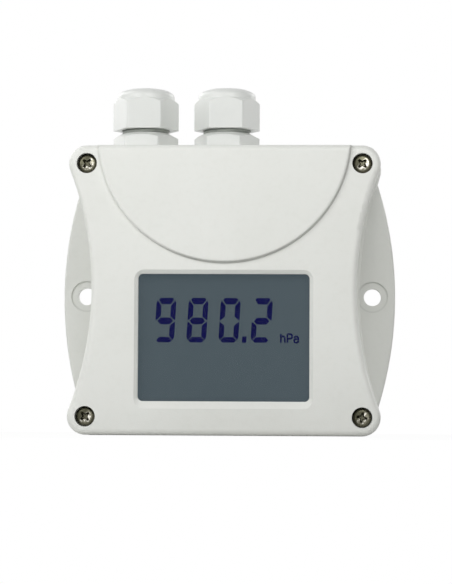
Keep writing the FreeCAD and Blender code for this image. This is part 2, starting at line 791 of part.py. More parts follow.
def link_strip(start, end):
    """Insulator of the board link between two depths."""
    half, half_width = link_length / 2, LINK_WIDTH / 2
    return block(link_x - half, link_x + half, start, end, link_z - half_width, link_z + half_width)


def link_hole(x, start, end):
    """Square hole, a clearance wider than a pin, between two depths."""
    half = LINK_PIN / 2 + LINK_PIN_CLEARANCE
    return block(x - half, x + half, start, end, link_z - half, link_z + half)


def link_header():
    """Pin strip on the main board."""
    end = main_front + LINK_HEADER_HEIGHT
    return link_strip(main_front, end).cut([link_hole(x, main_front, end) for x in pin_places])


def link_socket():
    """Socket strip on the back of the display board, its mouth towards the pins."""
    hole_end = socket_mouth + LINK_PIN_INSERT + LINK_PIN_TAIL
    holes = [link_hole(x, socket_mouth, hole_end) for x in pin_places]
    return link_strip(socket_mouth, display_back).cut(holes)


def link_pins():
    """Square pins from behind the main board into the socket."""
    half = LINK_PIN / 2
    start = main_depth - LINK_PIN_TAIL
    end = socket_mouth + LINK_PIN_INSERT
    return Part.makeCompound(
        [block(x - half, x + half, start, end, link_z - half, link_z + half) for x in pin_places]
    )


def gland_washer():
    """Flat washer between the gland body and the case."""
    outer = GLAND_FLATS / 2 - GLAND_WASHER_INSET
    inner = SHANK_RADIUS + SHANK_CLEARANCE
    return turned((inner, 0), (outer, 0), (outer, GLAND_WASHER), (inner, GLAND_WASHER))


def gland_body():
    """Hexagon body with a bored neck for the nut above and a bored shank through the case below."""
    corner = gland_corner
    drop = chamfer_drop(NECK_RADIUS, FLANGE_CHAMFER_DEG)
    hexagonal = hexagon(GLAND_FLATS, GLAND_WASHER, flange_top, GLAND_HEX_ROUND)
    chamfer = turned(
        (0, GLAND_WASHER),
        (corner, GLAND_WASHER),
        (corner, flange_top - drop),
        (NECK_RADIUS, flange_top),
        (0, flange_top),
    )
    hexagonal = hexagonal.common(chamfer)
    hexagonal.rotate(Vector(0, 0, 0), UP, GLAND_BODY_TURN)
    stem = turned(
        (0, shank_foot),
        (SHANK_RADIUS, shank_foot),
        (SHANK_RADIUS, (GLAND_WASHER + flange_top) / 2),
        (neck_root, (GLAND_WASHER + flange_top) / 2),
        (neck_root, neck_top - NECK_CHAMFER),
        (neck_root - NECK_CHAMFER, neck_top),
        (0, neck_top),
    )
    bore = turned(
        (0, shank_foot),
        (PASSAGE_RADIUS, shank_foot),
        (PASSAGE_RADIUS, SEAT_HEIGHT),
        (neck_bore, SEAT_HEIGHT),
        (neck_bore, neck_top),
        (0, neck_top),
    )
    return hexagonal.fuse(stem).cut(bore).removeSplitter()


def gland_locknut():
    """Hexagon nut inside the case, chamfered on its free side."""
    top = -RIM_STEP - WALL
    foot = top - LOCKNUT_THICKNESS
    inner = SHANK_RADIUS + THREAD_CLEARANCE
    ring = turned(
        (inner, foot),
        (GLAND_FLATS / 2, foot),
        (gland_corner, foot + chamfer_drop(GLAND_FLATS / 2, HEX_CHAMFER_DEG)),
        (gland_corner, top),
        (inner, top),
    )
    return hexagon(GLAND_FLATS, foot, top, GLAND_HEX_ROUND).common(ring)


def gland_claw():
    """Slotted crown that the nut's cone presses in on the rubber bush."""
    tip_outer = claw_outer - CLAW_CONE_TAPER
    tip_inner = tip_outer - CLAW_WALL
    crown = turned(
        (claw_inner, claw_foot),
        (claw_outer, claw_foot),
        (claw_outer, claw_shoulder),
        (tip_outer, claw_tip),
        (tip_inner, claw_tip),
        (claw_inner, claw_shoulder),
    )
    slots = []
    for n in range(CLAW_SLOTS):
        slot = Part.makeBox(
            claw_outer + CLAW_WALL,
            CLAW_SLOT_WIDTH,
            claw_tip - claw_foot,
            Vector(0, -CLAW_SLOT_WIDTH / 2, claw_foot + CLAW_RING_HEIGHT),
        )
        slot.rotate(Vector(0, 0, 0), UP, 360 * n / CLAW_SLOTS)
        slots.append(slot)
    return crown.cut(slots)


def gland_seal():
    """Rubber bush round the cable, with chamfered lips."""
    outer = claw_inner - CLAW_CLEARANCE
    foot = claw_foot + SEAL_FOOT_INSET
    top = claw_tip - SEAL_TOP_INSET - CLAW_CONE_HEIGHT / 2
    return turned(
        (SEAL_BORE_RADIUS, foot + SEAL_LIP),
        (SEAL_BORE_RADIUS + SEAL_LIP, foot),
        (outer, foot),
        (outer, top),
        (SEAL_BORE_RADIUS + SEAL_LIP, top),
        (SEAL_BORE_RADIUS, top - SEAL_LIP),
    )


def gland_nut():
    """Domed hexagon nut with a thread bore, an inner cone over the claw and a cable hole."""
    corner = gland_corner
    dome = GLAND_FLATS / 2 - DOME_INSET
    hex_top = nut_foot + NUT_HEX_HEIGHT
    shoulder = hex_top + chamfer_drop(dome, NUT_SHOULDER_DEG)
    dome_foot = shoulder + DOME_BAND
    crown_edge = PASSAGE_RADIUS + DOME_TOP_LAND
    across, rise = dome - DOME_ROUND - crown_edge, nut_top - dome_foot
    crown = (across**2 + rise**2 - DOME_ROUND**2) / (2 * (rise - DOME_ROUND))
    lean = math.atan2(across, crown - rise)

    def on_side(angle):
        """Point on the dome's rounded side, by its angle from the gland axis."""
        return dome - DOME_ROUND + DOME_ROUND * math.sin(angle), dome_foot + DOME_ROUND * math.cos(angle)

    def on_crown(angle):
        """Point on the dome's flat crown, which is tangent to its side."""
        return crown_edge + crown * math.sin(angle), nut_top - crown + crown * math.cos(angle)

    outside = turned(
        (0, nut_foot),
        (corner, nut_foot),
        (corner, hex_top),
        (dome, shoulder),
        (dome, dome_foot),
        (on_side((math.pi / 2 + lean) / 2), on_side(lean)),
        (on_crown(lean / 2), on_crown(0)),
        (0, nut_top),
    )
    bore = NECK_RADIUS + NUT_THREAD_CLEARANCE
    cone_foot = claw_outer + CLAW_TIP_GAP
    cone_top = cone_foot - CLAW_CONE_TAPER
    roof = nut_top - NUT_ROOF
    inside = turned(
        (0, nut_foot),
        (bore, nut_foot),
        (bore, claw_shoulder - (bore - cone_foot)),
        (cone_foot, claw_shoulder),
        (cone_top, claw_tip),
        (cone_top, roof),
        (PASSAGE_RADIUS, roof),
        (PASSAGE_RADIUS, nut_top),
        (0, nut_top),
    )
    prism = hexagon(GLAND_FLATS, nut_foot, nut_top, GLAND_HEX_ROUND)
    return prism.common(outside).cut(inside)


GLAND_PIECES = {
    "gland_body": gland_body,
    "gland_washer": gland_washer,
    "gland_locknut": gland_locknut,
    "gland_claw": gland_claw,
    "gland_seal": gland_seal,
    "gland_nut": gland_nut,
}

CASE_PIECES = (
    rear_housing,
    front_cover,
    cover_seal,
    cover_screws,
    display_window,
    lcd_glass,
    contact_strips,
    lcd_frame,
    display_board,
    display_screws,
    main_board,
    board_screws,
    terminal_block,
    terminal_clamps,
    terminal_screws,
    pressure_sensor,
    processor_chip,
    storage_capacitor,
    link_header,
    link_pins,
    link_socket,
)


def build():
    """All nodes by name."""
    nodes = {make.__name__: make() for make in CASE_PIECES}
    for name, make in GLAND_PIECES.items():
        piece = make()
        for side, x in (("left", left_gland_x), ("right", right_gland_x)):
            nodes[f"{side}_{name}"] = piece.translated(point(x, gland_depth, case_top))
    return nodes


os.makedirs("parts", exist_ok=True)
for node, shape in build().items():
    shape.exportStep(f"parts/{node}.step")
    print(f"{node}: {len(shape.Solids)} solids, {shape.Volume:.1f} mm3, valid {shape.isValid()}")
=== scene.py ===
import enum
import functools
import logging
import math
from collections.abc import Callable, Iterable, Mapping
from dataclasses import dataclass, field

import bmesh
import bpy
import numpy as np
from mathutils import Matrix, Vector


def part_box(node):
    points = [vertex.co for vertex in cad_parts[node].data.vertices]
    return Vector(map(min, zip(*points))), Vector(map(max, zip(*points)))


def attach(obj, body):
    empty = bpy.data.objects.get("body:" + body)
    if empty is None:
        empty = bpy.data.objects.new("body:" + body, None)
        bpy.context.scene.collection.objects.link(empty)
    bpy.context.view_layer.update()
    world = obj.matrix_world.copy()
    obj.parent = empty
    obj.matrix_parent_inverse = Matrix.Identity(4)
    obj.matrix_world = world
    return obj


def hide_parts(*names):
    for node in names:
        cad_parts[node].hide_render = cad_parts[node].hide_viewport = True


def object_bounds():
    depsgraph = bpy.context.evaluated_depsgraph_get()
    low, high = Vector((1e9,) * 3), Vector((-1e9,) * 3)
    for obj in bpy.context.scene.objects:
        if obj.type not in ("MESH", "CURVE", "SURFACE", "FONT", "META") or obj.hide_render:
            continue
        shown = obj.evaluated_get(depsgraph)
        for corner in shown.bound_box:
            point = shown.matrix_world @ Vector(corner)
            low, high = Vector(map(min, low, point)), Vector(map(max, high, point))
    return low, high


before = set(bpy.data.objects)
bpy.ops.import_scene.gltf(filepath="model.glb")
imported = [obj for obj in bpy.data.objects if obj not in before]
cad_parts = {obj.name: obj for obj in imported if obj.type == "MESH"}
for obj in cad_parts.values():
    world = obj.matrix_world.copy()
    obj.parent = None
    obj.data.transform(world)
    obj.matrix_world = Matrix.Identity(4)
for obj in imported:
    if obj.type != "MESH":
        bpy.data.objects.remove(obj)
CAD_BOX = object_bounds()

# Barometric pressure transmitter on a pale studio floor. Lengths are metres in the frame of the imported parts:
# X runs right, Y into the wall and Z up, so the front of the case looks along -Y.

LOG = logging.getLogger("transmitter")
MM = 0.001
ROOT_BODY = "housing"
WHITE = (1.0, 1.0, 1.0)
ORIGIN = (0.0, 0.0, 0.0)
SQUARE = ((-1, -1), (1, -1), (1, 1), (-1, 1))

Array = np.ndarray
Piece = bpy.types.Object
Socket = bpy.types.NodeSocket
Sockets = Mapping[str, Socket]
Colour = tuple[float, float, float]
Place = tuple[float, float, float]
Spot = tuple[float, float]
Source = Socket | float | tuple[float, ...]
Inputs = dict[str, Source]


def middle_and_half(box: tuple[Place, Place]) -> tuple[Array, Array]:
    """Middle and half size of a box that is given by its lowest and highest corner."""
    low, high = np.array(box)
    return (low + high) / 2, (high - low) / 2


class Effect(enum.Enum):
    """Shader groups that more than one finish uses."""

    GRAIN = "mould_grain"
    MARKS = "handling_marks"
    DUST = "settled_dust"
    RINGS = "lathe_rings"


class Graph:
    """Nodes and links of one shader tree."""

    def __init__(self, tree: bpy.types.NodeTree) -> None:
        """Start on an emptied tree.

        Args:
            tree: Tree of a material, a world or a group.
        """
        tree.nodes.clear()
        self.tree = tree

    def feed(self, socket: Socket, source: Source) -> None:
        """Link a socket to another one, or set it to a plain value, and a colour with full alpha.

        Args:
            socket: Input that is fed.
            source: Output to link from, or the value or colour to set.
        """
        if isinstance(source, Socket):
            self.tree.links.new(source, socket)
        else:
            socket.default_value = (*source, 1.0) if socket.type == "RGBA" else source

    def node(
        self, kind: str, inputs: Mapping[str | int, Source] | None = None, **settings: object
    ) -> bpy.types.Node:
        """Add a node.

        Args:
            kind: Blender's type name of the node.
            inputs: What each named or numbered input gets.
            **settings: Properties of the node itself.

        Returns:
            The new node.
        """
        made = self.tree.nodes.new(kind)
        for name, value in settings.items():
            setattr(made, name, value)
        for key, source in (inputs or {}).items():
            self.feed(made.inputs[key], source)
        return made

    def math(self, operation: str, *sources: Source) -> Socket:
        """Result of a Math node on one to three sources."""
        return self.node("ShaderNodeMath", dict(enumerate(sources)), operation=operation).outputs[0]

    def times(self, *sources: Source) -> Socket:
        """Product of two or more sources."""
        return functools.reduce(functools.partial(self.math, "MULTIPLY"), sources)

    def far(self, across: Source, along: Source) -> Socket:
        """Length of the diagonal over two sides that meet at a right angle."""
        return self.math("SQRT", self.math("MULTIPLY_ADD", across, across, self.times(along, along)))

    def vector(self, operation: str, *sources: Source) -> Socket:
        """Vector result of a Vector Math node."""
        return self.node("ShaderNodeVectorMath", dict(enumerate(sources)), operation=operation).outputs[0]

    def parts(self, source: Source) -> tuple[Socket, ...]:
        """X, Y and Z of a vector."""
        return tuple(self.node("ShaderNodeSeparateXYZ", {0: source}).outputs)

    def ramp(self, source: Source, low: float, high: float, start: float = 0.0, end: float = 1.0) -> Socket:
        """Smooth step of a source.

        Args:
            source: Value to read.
            low: Reading at which the step starts.
            high: Reading at which it ends.
            start: Result below the step.
            end: Result above it.

        Returns:
            The stepped value.
        """
        values = dict(enumerate((source, low, high, start, end)))
        return self.node("ShaderNodeMapRange", values, interpolation_type="SMOOTHSTEP").outputs[0]

    def mix(self, factor: Source, first: Source, second: Source) -> Socket:
        """Colour between two colours, the first at factor 0."""
        made = self.node("ShaderNodeMix", {0: factor, 6: first, 7: second}, data_type="RGBA")
        return made.outputs[2]

    def place(self) -> Socket:
        """Object coordinates, which are the frame's own metres."""
        return self.node("ShaderNodeTexCoord").outputs["Object"]

    def noise(self, cell: Source, detail: float = 2.0, at: Source | None = None) -> Socket:
        """Noise with a given cell size.

        Args:
            cell: Size of a cell in metres.
            detail: Octaves of finer noise.
            at: Coordinates, where they aren't the plain object ones.

        Returns:
            The noise value.
        """
        scale = self.math("DIVIDE", 1.0, cell) if isinstance(cell, Socket) else 1.0 / cell
        inputs = {"Vector": at or self.place(), "Scale": scale, "Detail": detail}
        return self.node("ShaderNodeTexNoise", inputs).outputs[0]

    def bump(self, height: Source, strength: float, distance: float) -> Socket:
        """Normal of a bumped surface, whose relief is given in metres."""
        inputs = {"Height": height, "Strength": strength, "Distance": distance}
        return self.node("ShaderNodeBump", inputs).outputs[0]

    def effect(self, effect: Effect, inputs: Mapping[str, Source]) -> Sockets:
        """Outputs of a shared group that is placed here with its own values."""
        return self.node("ShaderNodeGroup", inputs, node_tree=EFFECTS.get(effect)).outputs


class EffectLibrary:
    """Builds each shared shader group once."""

    def __init__(self) -> None:
        """Start with no group built."""
        self.built: dict[Effect, bpy.types.NodeTree] = {}

    def get(self, effect: Effect) -> bpy.types.NodeTree:
        """Tree of a group, built on first use.

        Args:
            effect: Which group.

        Returns:
            Its tree.
        """
        if effect not in self.built:
            makers = {
                Effect.GRAIN: (self.mould_grain, {"Cell": 0.0003, "Drift": 0.03}),
                Effect.MARKS: (self.handling_marks, {"Cell": 0.004, "Stretch": (1.0, 1.0, 0.2)}),
                Effect.DUST: (self.settled_dust, {"Cell": 0.0006}),
                Effect.RINGS: (self.lathe_rings, {"Middle": ORIGIN, "Reach": ORIGIN, "Pitch": 0.0001}),
            }
            self.built[effect] = self.build(effect.value, *makers[effect])
        return self.built[effect]

    def build(
        self, name: str, maker: Callable[[Graph, Sockets], Inputs], inputs: Mapping[str, float | Place]
    ) -> bpy.types.NodeTree:
        """New group with its sockets and nodes.

        Args:
            name: Name of the group.
            maker: Adds the nodes, and gives what each named output gets.
            inputs: Default of each named input, a number or a vector.

        Returns:
            Its tree.
        """
        tree = bpy.data.node_groups.new(name, "ShaderNodeTree")
        for label, value in inputs.items():
            kind = "NodeSocketFloat" if isinstance(value, float) else "NodeSocketVector"
            tree.interface.new_socket(label, in_out="INPUT", socket_type=kind).default_value = value
        graph = Graph(tree)
        results = maker(graph, graph.node("NodeGroupInput").outputs)
        for label in results:
            tree.interface.new_socket(label, in_out="OUTPUT", socket_type="NodeSocketFloat")
        graph.node("NodeGroupOutput", results)
        return tree

    @staticmethod
    def mould_grain(graph: Graph, given: Sockets) -> Inputs:
        """Spark-eroded mould grain: fine noise as relief, and a slow noise as the tone of the resin.

        Args:
            graph: Tree of the group.
            given: Its inputs.

        Returns:
            What its outputs get.
        """
        cell = given["Cell"]
        fine, coarse = graph.noise(cell, 3.0), graph.noise(graph.times(cell, 3.7), 1.0)
        slow = graph.ramp(graph.noise(given["Drift"], 2.0), 0.3, 0.7, 0.0, 0.65)
        speck = graph.ramp(graph.noise(graph.times(cell, 5.0), 2.0), 0.45, 0.75)
        return {
            "Height": graph.math("MULTIPLY_ADD", coarse, 0.4, fine),
            "Tone": graph.math("MULTIPLY_ADD", speck, 0.35, slow),
        }

    @staticmethod
    def handling_marks(graph: Graph, given: Sockets) -> Inputs:
        """Marks of handling: noise stretched along one direction, kept where a slow noise is high.

        Args:
            graph: Tree of the group.
            given: Its inputs.

        Returns:
            What its output gets.
        """
        along = graph.vector("MULTIPLY", graph.place(), given["Stretch"])
        streaks = graph.ramp(graph.noise(given["Cell"], 4.0, along), 0.5, 0.72)
        areas = graph.ramp(graph.noise(graph.times(given["Cell"], 6.0), 1.0), 0.42, 0.62)
        return {"Mask": graph.times(streaks, areas)}

    @staticmethod
    def settled_dust(graph: Graph, given: Sockets) -> Inputs:
        """Dust on faces that look up: the normal's height times broken noise.

        Args:
            graph: Tree of the group.
            given: Its inputs.

        Returns:
            What its output gets.
        """
        up = graph.parts(graph.node("ShaderNodeNewGeometry").outputs["Normal"])[2]
        broken = graph.ramp(graph.noise(given["Cell"], 5.0), 0.46, 0.68)
        return {"Mask": graph.times(graph.ramp(up, 0.35, 0.95), broken)}

    @staticmethod
    def lathe_rings(graph: Graph, given: Sockets) -> Inputs:
        """Rings round one, two or four axes along Y: the place is folded about their middle, and its distance
        from its own axis gives a sine wave and the radius itself. Folded back, the place gives how far right
        of that axis and how far above it a point lies.

        Args:
            graph: Tree of the group.
            given: Its inputs.

        Returns:
            What its outputs get.
        """
        centred = graph.vector("SUBTRACT", graph.place(), given["Middle"])
        folded = graph.vector("SUBTRACT", graph.vector("ABSOLUTE", centred), given["Reach"])
        x, _, z = graph.parts(graph.vector("MULTIPLY", folded, graph.vector("SIGN", centred)))
        radius = graph.far(x, z)
        turns = graph.times(graph.math("DIVIDE", radius, given["Pitch"]), math.tau)
        return {"Height": graph.math("SINE", turns), "Radius": radius, "Right": x, "Above": z}


EFFECTS = EffectLibrary()


@dataclass(frozen=True)
class Finish:
    """What every finish has: a name, a base colour and a roughness."""

    name: str
    colour: Colour
    roughness: float

    def material(self) -> bpy.types.Material:
        """Material of this finish, built on first use.

        Returns:
            A material with one Principled shader, which this finish has painted.
        """
        label = f"{self.name}_finish"
        known = bpy.data.materials.get(label)
        if known:
            return known
        made = bpy.data.materials.new(label)
        made.use_nodes = True
        graph = Graph(made.node_tree)
        plain = {"Base Color": self.colour, "Roughness": self.roughness}
        shader = graph.node("ShaderNodeBsdfPrincipled", plain)
        for name, source in self.paint(graph).items():
            graph.feed(shader.inputs[name], source)
        graph.node("ShaderNodeOutputMaterial", {"Surface": shader.outputs[0]})
        return made

    def paint(self, graph: Graph) -> Inputs:
        """What the finish shows over its surface.

        Args:
            graph: Tree of the material.

        Returns:
            What each named input of the shader gets.
        """
        raise NotImplementedError

    def roughen(self, graph: Graph, mask: Source, more: float, low: float = 0.0, high: float = 1.0) -> Socket:
        """Roughness that grows by the given amount as a mask goes from low to high."""
        return graph.ramp(mask, low, high, self.roughness, self.roughness + more)


@dataclass(frozen=True)
class MouldedPlastic(Finish):
    """Moulded plastic with mould grain, slow shifts of tone, a little dust and faint handling marks."""

    shade: Colour
    cell: float = 0.00028
    relief: float = 0.00001
    dust: float = 0.10
    smear: float = 0.12
    gloss: float = 0.5
    dust_tone: float = 0.72

    def paint(self, graph: Graph) -> Inputs:
        """Two tones of resin under dust, and a skin that marks roughen and grain embosses.

        Args:
            graph: Tree of the material.

        Returns:
            What each named input of the shader gets.
        """
        grain = graph.effect(Effect.GRAIN, {"Cell": self.cell, "Drift": 0.028})
        marks = graph.effect(Effect.MARKS, {"Cell": 0.0035, "Stretch": (1.0, 1.0, 0.25)})
        dust = graph.effect(Effect.DUST, {"Cell": 0.0005})
        resin = self.add_step_shade(graph, graph.mix(grain["Tone"], self.colour, self.shade))
        grey = tuple(self.dust_tone * part for part in self.shade)
        return {
            "Base Color": graph.mix(graph.times(dust["Mask"], self.dust), resin, grey),
            "Roughness": self.roughen(graph, marks["Mask"], self.smear),
            "Normal": graph.bump(grain["Height"], 1.0, self.relief),
            "Specular IOR Level": self.gloss,
        }

    def add_step_shade(self, graph: Graph, resin: Socket) -> Socket:
        """Colour of the resin with painted shade in the foot of a step, which plain plastic hasn't."""
        return resin


@dataclass(frozen=True)
class StepShadedPlastic(MouldedPlastic):
    """Moulded plastic with painted shade in the foot of a round step, or of two such steps side by side."""

    middle: Place = ORIGIN
    reach: Place = ORIGIN
    step: float = 0.03
    width: float = 0.0005
    step_shade: Colour = (0.48, 0.485, 0.46)
    lit_lean: float = -0.35
    shaded_lean: float = 0.8
    rear: float = 0.0

    def add_step_shade(self, graph: Graph, resin: Socket) -> Socket:
        """Mix painted shade into a thin ring in front of the rear limit: the distance from the step's axis,
        less the step's radius, fades it to both sides, and the lean to the lower right, away from the light, in
        shares of that radius, weighs it.

        Args:
            graph: Tree of the material.
            resin: Colour without the painted shade.

        Returns:
            The colour with the painted shade.
        """
        rings = graph.effect(Effect.RINGS, {"Middle": self.middle, "Reach": self.reach})
        away = graph.math("ABSOLUTE", graph.math("SUBTRACT", rings["Radius"], self.step))
        line = graph.ramp(away, 0.0, self.width, 1.0, 0.0)
        # The painted shade grows towards the lower right, away from the light.
        lean = graph.math("SUBTRACT", rings["Right"], rings["Above"])
        leaned = graph.ramp(lean, self.lit_lean * self.step, self.shaded_lean * self.step)
        before = graph.math("LESS_THAN", graph.parts(graph.place())[1], self.rear)
        return graph.mix(graph.times(line, leaned, before), resin, self.step_shade)


@dataclass(frozen=True)
class Rubber(Finish):
    """Black rubber with a pale bloom and a fine skin."""

    bloom: Colour
    cell: float = 0.00018

    def paint(self, graph: Graph) -> Inputs:
        """Black broken by bloom, under an embossed skin.

        Args:
            graph: Tree of the material.

        Returns:
            What each named input of the shader gets.
        """
        grain = graph.effect(Effect.GRAIN, {"Cell": self.cell, "Drift": 0.006})
        dust = graph.effect(Effect.DUST, {"Cell": 0.0003})
        bloomed = graph.math("MULTIPLY_ADD", dust["Mask"], 0.35, grain["Tone"])
        return {
            "Base Color": graph.mix(bloomed, self.colour, self.bloom),
            "Roughness": self.roughen(graph, grain["Tone"], 0.15),
            "Normal": graph.bump(grain["Height"], 0.8, 0.00002),
        }


@dataclass(frozen=True)
class PlatedMetal(Finish):
    """Plated or drawn metal with stains in the plating and fine drawing lines."""

    stain: Colour
    lines: Place = (1.0, 1.0, 0.08)

    def paint(self, graph: Graph) -> Inputs:
        """Stained plating, whose polish varies along the drawing lines.

        Args:
            graph: Tree of the material.

        Returns:
            What each named input of the shader gets.
        """
        marks = graph.effect(Effect.MARKS, {"Cell": 0.0007, "Stretch": self.lines})
        grain = graph.effect(Effect.GRAIN, {"Cell": 0.00009, "Drift": 0.0015})
        return {
            "Metallic": 1.0,
            "Base Color": graph.mix(grain["Tone"], self.colour, self.stain),
            "Roughness": self.roughen(graph, marks["Mask"], 0.18),
            "Normal": graph.bump(grain["Height"], 0.5, 0.000003),
        }


@dataclass(frozen=True)
class ScrewPlating(Finish):
    """Plating on four screw heads in a rectangle, with painted light: painted shade on the upper left of the
    slope and in the recess, lighter on the lower right as if lit, a painted reflection on the crown, and
    painted glints."""

    node: str
    head_radius: float
    lit_slope: Colour
    crown_reflection: Colour
    crown: float
    glint: Colour = (1.0, 0.97, 0.88)
    glint_cell: float = 0.0008
    pitch: float = 0.00011
    reflection_depth: float = 0.3 * MM

    def paint(self, graph: Graph) -> Inputs:
        """Fine rings turned round each screw's axis, a painted reflection near the front of the crown only, and
        painted glints there in patches of noise on the lower right of the recess.

        Args:
            graph: Tree of the material.

        Returns:
            What each named input of the shader gets.
        """
        middle, half = middle_and_half(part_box(self.node))
        axes = {
            "Middle": (middle[0], 0.0, middle[2]),
            "Reach": (half[0] - self.head_radius, 0.0, half[2] - self.head_radius),
        }
        rings = graph.effect(Effect.RINGS, {**axes, "Pitch": self.pitch})
        grain = graph.effect(Effect.GRAIN, {"Cell": 0.00012, "Drift": 0.0012})
        flat = graph.ramp(rings["Radius"], self.crown, self.crown + 0.2 * self.head_radius, 1.0, 0.0)
        depth = graph.math("SUBTRACT", graph.parts(graph.place())[1], middle[1] - half[1])
        # Painted reflection on the crown's front; deeper, in the recess, the plating keeps its painted shade.
        crown_sheen = graph.times(flat, graph.ramp(depth, 0.02 * MM, self.reflection_depth, 1.0, 0.0))
        # Painted shade on the upper left of each head, lighter towards the lower right where the light falls.
        lean = graph.math("SUBTRACT", rings["Right"], rings["Above"])
        lit_side = graph.ramp(lean, -0.6 * self.head_radius, 0.7 * self.head_radius)
        slope = graph.mix(lit_side, self.colour, self.lit_slope)
        kept = graph.ramp(grain["Tone"], 0.0, 0.6, 1.0, 0.5)
        plating = graph.mix(graph.times(crown_sheen, kept, graph.ramp(lit_side, 0.05, 0.5)), slope, self.crown_reflection)
        # Painted glints: highlights in patches of noise round the recess on the lower right.
        glint_patches = graph.ramp(graph.noise(self.glint_cell, 1.0), 0.46, 0.54)
        outer = graph.ramp(rings["Radius"], 0.4 * self.crown, 0.6 * self.crown)
        glint_mask = graph.times(crown_sheen, glint_patches, graph.ramp(lit_side, 0.1, 0.5), outer)
        relief = graph.math("MULTIPLY_ADD", rings["Height"], 0.25, grain["Height"])
        return {
            "Metallic": 1.0,
            "Base Color": graph.mix(glint_mask, plating, self.glint),
            "Roughness": self.roughen(graph, grain["Tone"], 0.15),
            "Normal": graph.bump(relief, 0.5, 0.000006),
        }


@dataclass(frozen=True)
class ClearPane(Finish):
    """Clear moulded pane that shows only through its dust and a faint cast of its own colour."""

    veil: float

    def paint(self, graph: Graph) -> Inputs:
        """A low alpha that rises with specks and wiping marks.

        Args:
            graph: Tree of the material.

        Returns:
            What each named input of the shader gets.
        """
        grain = graph.effect(Effect.GRAIN, {"Cell": 0.0004, "Drift": 0.012})
        marks = graph.effect(Effect.MARKS, {"Cell": 0.003, "Stretch": (0.25, 1.0, 1.0)})
        specks = graph.ramp(graph.noise(0.0003, 4.0), 0.70, 0.78, 0.0, 0.05)
        wiped = graph.math("MULTIPLY_ADD", marks["Mask"], 0.008, self.veil)
        return {
            "Alpha": graph.math("ADD", wiped, specks),
            "Roughness": self.roughen(graph, grain["Tone"], 0.08),
            "IOR": 1.49,
        }


@dataclass(frozen=True)
class LiquidCrystal(Finish):
    """Grey-blue cell of a display, a little lighter towards its edges, with a fine rear diffuser and a painted
    glow.
    """

    edge: Colour
    middle: Place
    reach: float
    glow: float

    def paint(self, graph: Graph) -> Inputs:
        """A blend from the middle colour to the edge colour, mottled by the diffuser's grain, with a painted
        glow in the same blend.

        Args:
            graph: Tree of the material.

        Returns:
            What each named input of the shader gets.
        """
        x, _, z = graph.parts(graph.vector("SUBTRACT", graph.place(), self.middle))
        grain = graph.effect(Effect.GRAIN, {"Cell": 0.00035, "Drift": 0.009})
        outer = graph.ramp(graph.far(x, z), 0.3 * self.reach, self.reach, 0.0, 0.65)
        spread = graph.math("MULTIPLY_ADD", grain["Tone"], 0.35, outer)
        tint = graph.mix(spread, self.colour, self.edge)
        return {
            "Base Color": tint,
            # Painted glow: emission in the cell's own colour evens out its shading, though the cell has no
            # lamp.
            "Emission Color": tint,
            "Emission Strength": self.glow,
            "Roughness": self.roughen(graph, grain["Tone"], 0.06),
            "Specular IOR Level": 0.05,
        }


@dataclass(frozen=True)
class CrystalInk(Finish):
    """Darkened liquid crystal of a segment, thinner and bluer in places."""

    thin: Colour

    def paint(self, graph: Graph) -> Inputs:
        """Ink that is mottled by the cell's grain.

        Args:
            graph: Tree of the material.

        Returns:
            What each named input of the shader gets.
        """
        grain = graph.effect(Effect.GRAIN, {"Cell": 0.0003, "Drift": 0.004})
        return {
            "Base Color": graph.mix(grain["Tone"], self.colour, self.thin),
            "Roughness": self.roughen(graph, grain["Height"], 0.1, 0.3, 1.1),
            "Specular IOR Level": 0.0,
        }


@dataclass(frozen=True)
class Laminate(Finish):
    """Printed board: solder mask over copper tracks, with the weave of the glass cloth in its skin."""

    track: Colour
    weave: float = 0.9 * MM
    track_width: float = 0.22 * MM
    track_pitch: float = 1.9 * MM
    track_run: float = 7.1 * MM
    cloth: float = 0.2

    def paint(self, graph: Graph) -> Inputs:
        """Tracks as the joints of a brick pattern in the board's plane, and relief of tracks and weave.

        Args:
            graph: Tree of the material.

        Returns:
            What each named input of the shader gets.
        """
        x, y, z = graph.parts(graph.place())
        pattern = {
            "Vector": graph.node("ShaderNodeCombineXYZ", {0: x, 1: z, 2: y}).outputs[0],
            "Scale": 1.0,
            "Mortar Size": self.track_width,
            "Brick Width": self.track_run,
            "Row Height": self.track_pitch,
        }
        tracks = graph.node("ShaderNodeTexBrick", pattern).outputs["Fac"]
        grain = graph.effect(Effect.GRAIN, {"Cell": 0.0005, "Drift": 0.01})
        mask = graph.mix(grain["Tone"], self.colour, tuple(0.7 * part for part in self.colour))
        warp, weft = (graph.math("SINE", graph.times(along, math.tau / self.weave)) for along in (x, z))
        relief = graph.math("ADD", graph.times(warp, weft, self.cloth), tracks)
        return {
            "Base Color": graph.mix(tracks, mask, self.track),
            "Roughness": self.roughen(graph, grain["Tone"], 0.15),
            "Normal": graph.bump(relief, 0.6, 0.00003),
        }


CASE_RESIN = {
    "colour": (0.79, 0.80, 0.765),
    "roughness": 0.46,
    "shade": (0.755, 0.765, 0.725),
    "relief": 0.000018,
}
# Painted shade in the foot of the raised panel's arched step, heavier to the lower right, away from the light
COVER = StepShadedPlastic("cover_abs", **CASE_RESIN, middle=(0.0, 0.0, 39.05 * MM), step=32.1 * MM)
# Painted shade at the edge of each wall hole's counterbore: its lean limits lie beyond the ring, so the shade
# is even all round each wall hole
HOUSING = StepShadedPlastic(
    "housing_abs",
    **CASE_RESIN,
    reach=(38.4 * MM, 0.0, 0.0),
    step=3.95 * MM,
    width=0.4 * MM,
    step_shade=(0.68, 0.69, 0.655),
    lit_lean=-3.0,
    shaded_lean=-2.0,
    rear=-2.0 * MM,
)
GLAND = MouldedPlastic(
    "gland_polyamide",
    (0.80, 0.815, 0.79),
    0.34,
    (0.765, 0.78, 0.755),
    cell=0.0005,
    relief=0.000006,
    dust=0.12,
)
